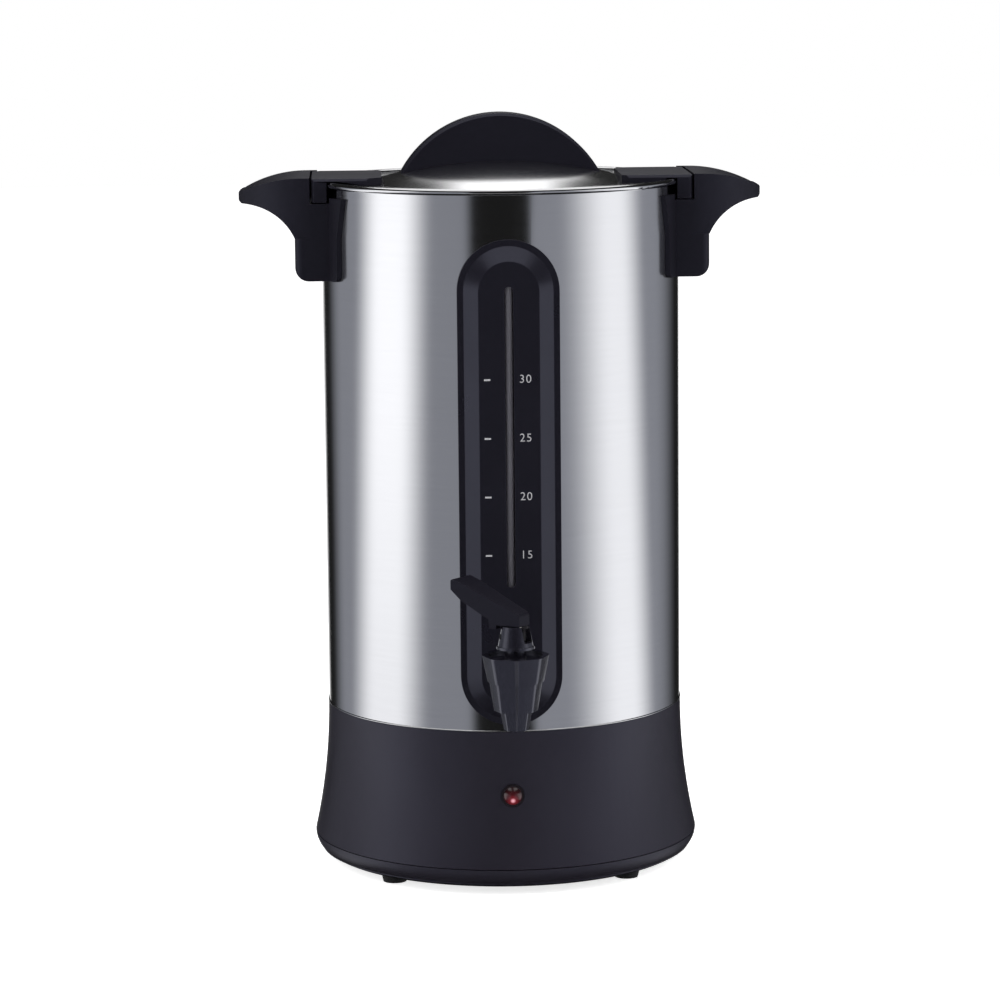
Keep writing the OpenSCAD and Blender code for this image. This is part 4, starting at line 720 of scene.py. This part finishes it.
class URN_OT_lid(Operator):
    """Finishes the lid, its grip and its latches"""
    bl_idname = "urn.lid"
    bl_label = "Lid"

    def execute(self, context):
        finish = context.scene.urn_finish
        coat("lid_dome", buffed_steel("buffed steel", finish.steel))
        plastic = bpy.data.materials["handle plastic"]
        eased_copy("lid_grip", "grip_moulding", "lid", plastic, 0.5 * MM)
        for side in ("left", "right"):
            eased_copy(side + "_latch", side + "_latch_moulding", "lid", plastic,
                       0.4 * MM)
        return {"FINISHED"}


class URN_OT_percolator(Operator):
    """Finishes the pump, the basket and its cover"""
    bl_idname = "urn.percolator"
    bl_label = "Percolator"

    def execute(self, context):
        steel = grained_steel("percolator steel", (0.74, 0.74, 0.75), 0.26, 0.05, 2.0, 600.0)
        for node in ("pump_tube", "pump_foot", "coffee_basket", "basket_cover"):
            coat(node, steel)
        return {"FINISHED"}


# Each screen of the studio's round wall: its turn from the front in degrees, positive towards +X, as
# dark before, bright from, bright to, dark after; its height in metres in the same way; its light
# at the top and at the foot; its tint; and whether it leans. The pairs at the back run past 180
# degrees, so that they meet there without a gap.
NEUTRAL, COOL = (1.0, 1.0, 1.0), (0.95, 0.985, 1.11)
TALL_HEIGHTS = (-2.6, -2.3, 0.55, 0.9)
LOW_HEIGHTS = (-2.2, -2.0, -1.7, -1.5)
REAR_HEIGHTS = (-1.2, -1.0, 0.1, 0.25)
CARD_HEIGHTS = (1.55, 1.85, 8, 9)
SCREENS = {
    "left screen": ((-113, -87, -71, -46), TALL_HEIGHTS, (1.0, 0.78), NEUTRAL, True),
    "right screen": ((34, 74, 82, 107), TALL_HEIGHTS, (0.79, 0.79), NEUTRAL, True),
    "left wall": ((-150, -126, -26, -18), TALL_HEIGHTS, (0.245, 0.245), COOL, False),
    "right wall": ((14, 20, 112, 150), TALL_HEIGHTS, (0.265, 0.265), COOL, False),
    "rear screen left": ((-200, -190, -168, -160), REAR_HEIGHTS, (0.8, 0.8), NEUTRAL, False),
    "rear screen right": ((160, 168, 190, 200), REAR_HEIGHTS, (0.8, 0.8), NEUTRAL, False),
    "high card left": ((-200, -190, -178, -173.5), CARD_HEIGHTS, (1.5, 1.5), NEUTRAL, False),
    "high card right": ((168.5, 172, 190, 200), CARD_HEIGHTS, (1.5, 1.5), NEUTRAL, False),
    "low front card": ((-31, -23, 23, 31), LOW_HEIGHTS, (0.6, 0.6), NEUTRAL, False),
    "ceiling": ((-400, -300, 300, 400), (3.45, 3.55, 8, 9), (1.0, 1.0), NEUTRAL, False),
}
# The side screens stand further apart at the foot, by this share of their turn per metre of height.
SCREEN_LEAN = 0.18
# A screen's light goes over from its foot's to its top's between these two heights.
SCREEN_FOOT_Z, SCREEN_MID_Z = -0.55, -0.1
# The round wall that holds the screens, and its own faint light.
RING_RADIUS, RING_DEPTH, RING_MID_Z, RING_SIDES = 3.2, 9.6, -1.2, 128
WALL_DIM = (0.012, 0.012, 0.012)
# The floor's side in metres, and how far it lies below the feet.
FLOOR_SIZE, FLOOR_DROP = 12, 0.0002
# Each soft light: its place and its share of the side lights' power.
LIGHTS = {
    "left light": ((-1.7, -1.2, 1.3), 1.0),
    "right light": ((1.7, -1.2, 1.3), 1.0),
    "top light": ((0.0, 0.3, 2.2), 0.8),
}
LIGHT_WIDTH, LIGHT_HEIGHT, LIGHT_AIM_Z = 1.1, 1.5, 0.22
# The camera's film width and lens in millimetres, and its sideways shift.
FILM_WIDTH, LENS_LENGTH, LENS_SHIFT = 36, 134.506, -0.0026


class URN_OT_studio(Operator):
    """Sets the floor, the screens, the lights and the camera"""
    bl_idname = "urn.studio"
    bl_label = "Studio"

    def execute(self, context):
        studio = context.scene.urn_studio
        self.floor(studio)
        self.screen_ring(studio)
        self.room(context, studio)
        self.side_lights(studio)
        self.camera(context, studio)
        context.scene.view_settings.view_transform = "Standard"
        return {"FINISHED"}

    def floor(self, studio):
        nothing_selected()
        bpy.ops.mesh.primitive_plane_add(size=FLOOR_SIZE, location=(0, 0, -FLOOR_DROP))
        floor = bpy.context.object
        floor.name = "floor"
        material, nodes, links, shader = blank_material("white floor")
        shader.inputs["Base Color"].default_value = (0.86, 0.86, 0.86, 1)
        shader.inputs["Roughness"].default_value = 0.9
        shader.inputs["Specular IOR Level"].default_value = 0.0
        path = nodes.new("ShaderNodeLightPath")
        glow = nodes.new("ShaderNodeEmission")
        glow.inputs["Strength"].default_value = studio.floor_glow
        both = nodes.new("ShaderNodeAddShader")
        pick = nodes.new("ShaderNodeMixShader")
        links.new(shader.outputs["BSDF"], both.inputs[0])
        links.new(glow.outputs["Emission"], both.inputs[1])
        links.new(path.outputs["Is Camera Ray"], pick.inputs["Fac"])
        links.new(shader.outputs["BSDF"], pick.inputs[1])
        links.new(both.outputs["Shader"], pick.inputs[2])
        links.new(pick.outputs["Shader"], nodes["Material Output"].inputs["Surface"])
        floor.data.materials.append(material)
        floor.visible_glossy = False

    def screen_ring(self, studio):
        """A round wall of soft screens that only polished surfaces mirror."""
        nothing_selected()
        bpy.ops.mesh.primitive_cylinder_add(vertices=RING_SIDES, radius=RING_RADIUS, depth=RING_DEPTH,
                                            location=(AXIS.x, AXIS.y, RING_MID_Z))
        ring = bpy.context.object
        ring.name = "screens"
        bpy.ops.object.transform_apply(location=True, rotation=True, scale=True)
        material, nodes, links, shader = blank_material("screens")
        nodes.remove(shader)
        glow = nodes.new("ShaderNodeEmission")
        glow.inputs["Strength"].default_value = studio.screens
        links.new(self.screen_light(nodes, links), glow.inputs["Color"])
        links.new(glow.outputs["Emission"], nodes["Material Output"].inputs["Surface"])
        ring.data.materials.append(material)
        for ray in ("camera", "diffuse", "shadow", "transmission", "volume_scatter"):
            setattr(ring, "visible_" + ray, False)

    def screen_light(self, nodes, links):
        """The colour of the round wall's light: its own, with each screen's added to it."""
        place = parts(nodes, links, axis_coords(nodes, links))
        front = math(nodes, links, "MULTIPLY", place["Y"], -1.0)
        turn = math(nodes, links, "DEGREES", math(nodes, links, "ARCTAN2", place["X"], front))
        below = math(nodes, links, "SUBTRACT", SCREEN_MID_Z, place["Z"])
        lean = math(nodes, links, "ADD", 1.0, math(nodes, links, "MULTIPLY", below, SCREEN_LEAN))
        leaning = math(nodes, links, "DIVIDE", turn, lean)
        light = None
        for turns, heights, (top, foot), tint, leans in SCREENS.values():
            across = window(nodes, links, leaning if leans else turn, *turns)
            shape = math(nodes, links, "MULTIPLY", across, window(nodes, links, place["Z"], *heights))
            level = spread(nodes, links, place["Z"], foot, top, SCREEN_FOOT_Z, SCREEN_MID_Z)
            colour = nodes.new("ShaderNodeVectorMath")
            colour.operation = "SCALE"
            colour.inputs[0].default_value = tint
            links.new(math(nodes, links, "MULTIPLY", shape, level), colour.inputs["Scale"])
            both = nodes.new("ShaderNodeVectorMath")
            both.operation = "ADD"
            if light is None:
                both.inputs[0].default_value = WALL_DIM
            else:
                links.new(light, both.inputs[0])
            links.new(colour.outputs["Vector"], both.inputs[1])
            light = both.outputs["Vector"]
        return light

    def room(self, context, studio):
        world = bpy.data.worlds.new("room")
        context.scene.world = world
        world.use_nodes = True
        nodes, links = world.node_tree.nodes, world.node_tree.links
        plain = nodes["Background"]
        plain.inputs["Color"].default_value = (1, 1, 1, 1)
        plain.inputs["Strength"].default_value = studio.sky
        white = nodes.new("ShaderNodeBackground")
        white.inputs["Color"].default_value = (1, 1, 1, 1)
        white.inputs["Strength"].default_value = 1.0
        path = nodes.new("ShaderNodeLightPath")
        rays = path.outputs
        bent = math(nodes, links, "MAXIMUM", rays["Is Glossy Ray"], rays["Is Transmission Ray"])
        seen = math(nodes, links, "MAXIMUM", rays["Is Camera Ray"], bent)
        pick = nodes.new("ShaderNodeMixShader")
        links.new(seen, pick.inputs["Fac"])
        links.new(plain.outputs["Background"], pick.inputs[1])
        links.new(white.outputs["Background"], pick.inputs[2])
        links.new(pick.outputs["Shader"], nodes["World Output"].inputs["Surface"])

    def side_lights(self, studio):
        for name, (place, share) in LIGHTS.items():
            data = bpy.data.lights.new(name, "AREA")
            data.shape = "RECTANGLE"
            data.size, data.size_y = LIGHT_WIDTH, LIGHT_HEIGHT
            data.energy = studio.key_power * share
            light = bpy.data.objects.new(name, data)
            light.location = place
            aim = Vector((AXIS.x, AXIS.y, LIGHT_AIM_Z)) - Vector(place)
            light.rotation_euler = aim.to_track_quat("-Z", "Y").to_euler()
            light.visible_glossy = False
            light.visible_camera = False
            bpy.context.collection.objects.link(light)

    def camera(self, context, studio):
        turn, pitch, roll = studio.camera_turn, studio.camera_pitch, studio.camera_roll
        ahead = Vector((-sin(turn) * cos(pitch), cos(turn) * cos(pitch), -sin(pitch)))
        side = Vector((cos(turn), sin(turn), 0))
        up = side.cross(ahead)
        right = cos(roll) * side + sin(roll) * up
        top = -sin(roll) * side + cos(roll) * up
        data = bpy.data.cameras.new("camera")
        camera = bpy.data.objects.new("camera", data)
        bpy.context.collection.objects.link(camera)
        place = Vector((AXIS.x + studio.camera_distance * sin(turn),
                        AXIS.y - studio.camera_distance * cos(turn), studio.camera_height))
        camera.matrix_world = Matrix.Translation(place) @ Matrix((right, top, -ahead)).transposed().to_4x4()
        data.sensor_fit = "HORIZONTAL"
        data.sensor_width = FILM_WIDTH
        data.lens = LENS_LENGTH
        data.shift_x = LENS_SHIFT
        data.clip_end = 50
        context.scene.camera = camera


class URN_PT_panel(Panel):
    """The urn's pieces and finishes"""
    bl_idname = "URN_PT_panel"
    bl_label = "Coffee Urn"
    bl_space_type = "VIEW_3D"
    bl_region_type = "UI"
    bl_category = "Urn"

    def draw(self, context):
        layout = self.layout
        for group in (context.scene.urn_finish, context.scene.urn_gauge, context.scene.urn_studio):
            box = layout.box()
            for name in group.__annotations__:
                box.prop(group, name)
        for operator in OPERATORS:
            layout.operator(operator.bl_idname)


OPERATORS = (URN_OT_tank, URN_OT_base, URN_OT_lamp, URN_OT_heater, URN_OT_gauge, URN_OT_tap,
             URN_OT_handles, URN_OT_lid, URN_OT_percolator, URN_OT_studio)
GROUPS = {"urn_finish": UrnFinish, "urn_gauge": UrnGauge, "urn_studio": UrnStudio}


def register():
    for cls in (*GROUPS.values(), *OPERATORS, URN_PT_panel):
        bpy.utils.register_class(cls)
    for name, group in GROUPS.items():
        setattr(bpy.types.Scene, name, PointerProperty(type=group))


def unregister():
    for name in GROUPS:
        delattr(bpy.types.Scene, name)
    for cls in (URN_PT_panel, *reversed(OPERATORS), *GROUPS.values()):
        bpy.utils.unregister_class(cls)


def main():
    register()
    bpy.ops.urn.tank()
    bpy.ops.urn.base()
    bpy.ops.urn.lamp()
    bpy.ops.urn.heater()
    bpy.ops.urn.gauge()
    bpy.ops.urn.tap()
    bpy.ops.urn.handles()
    bpy.ops.urn.lid()
    bpy.ops.urn.percolator()
    bpy.ops.urn.studio()


if __name__ == "__main__":
    main()
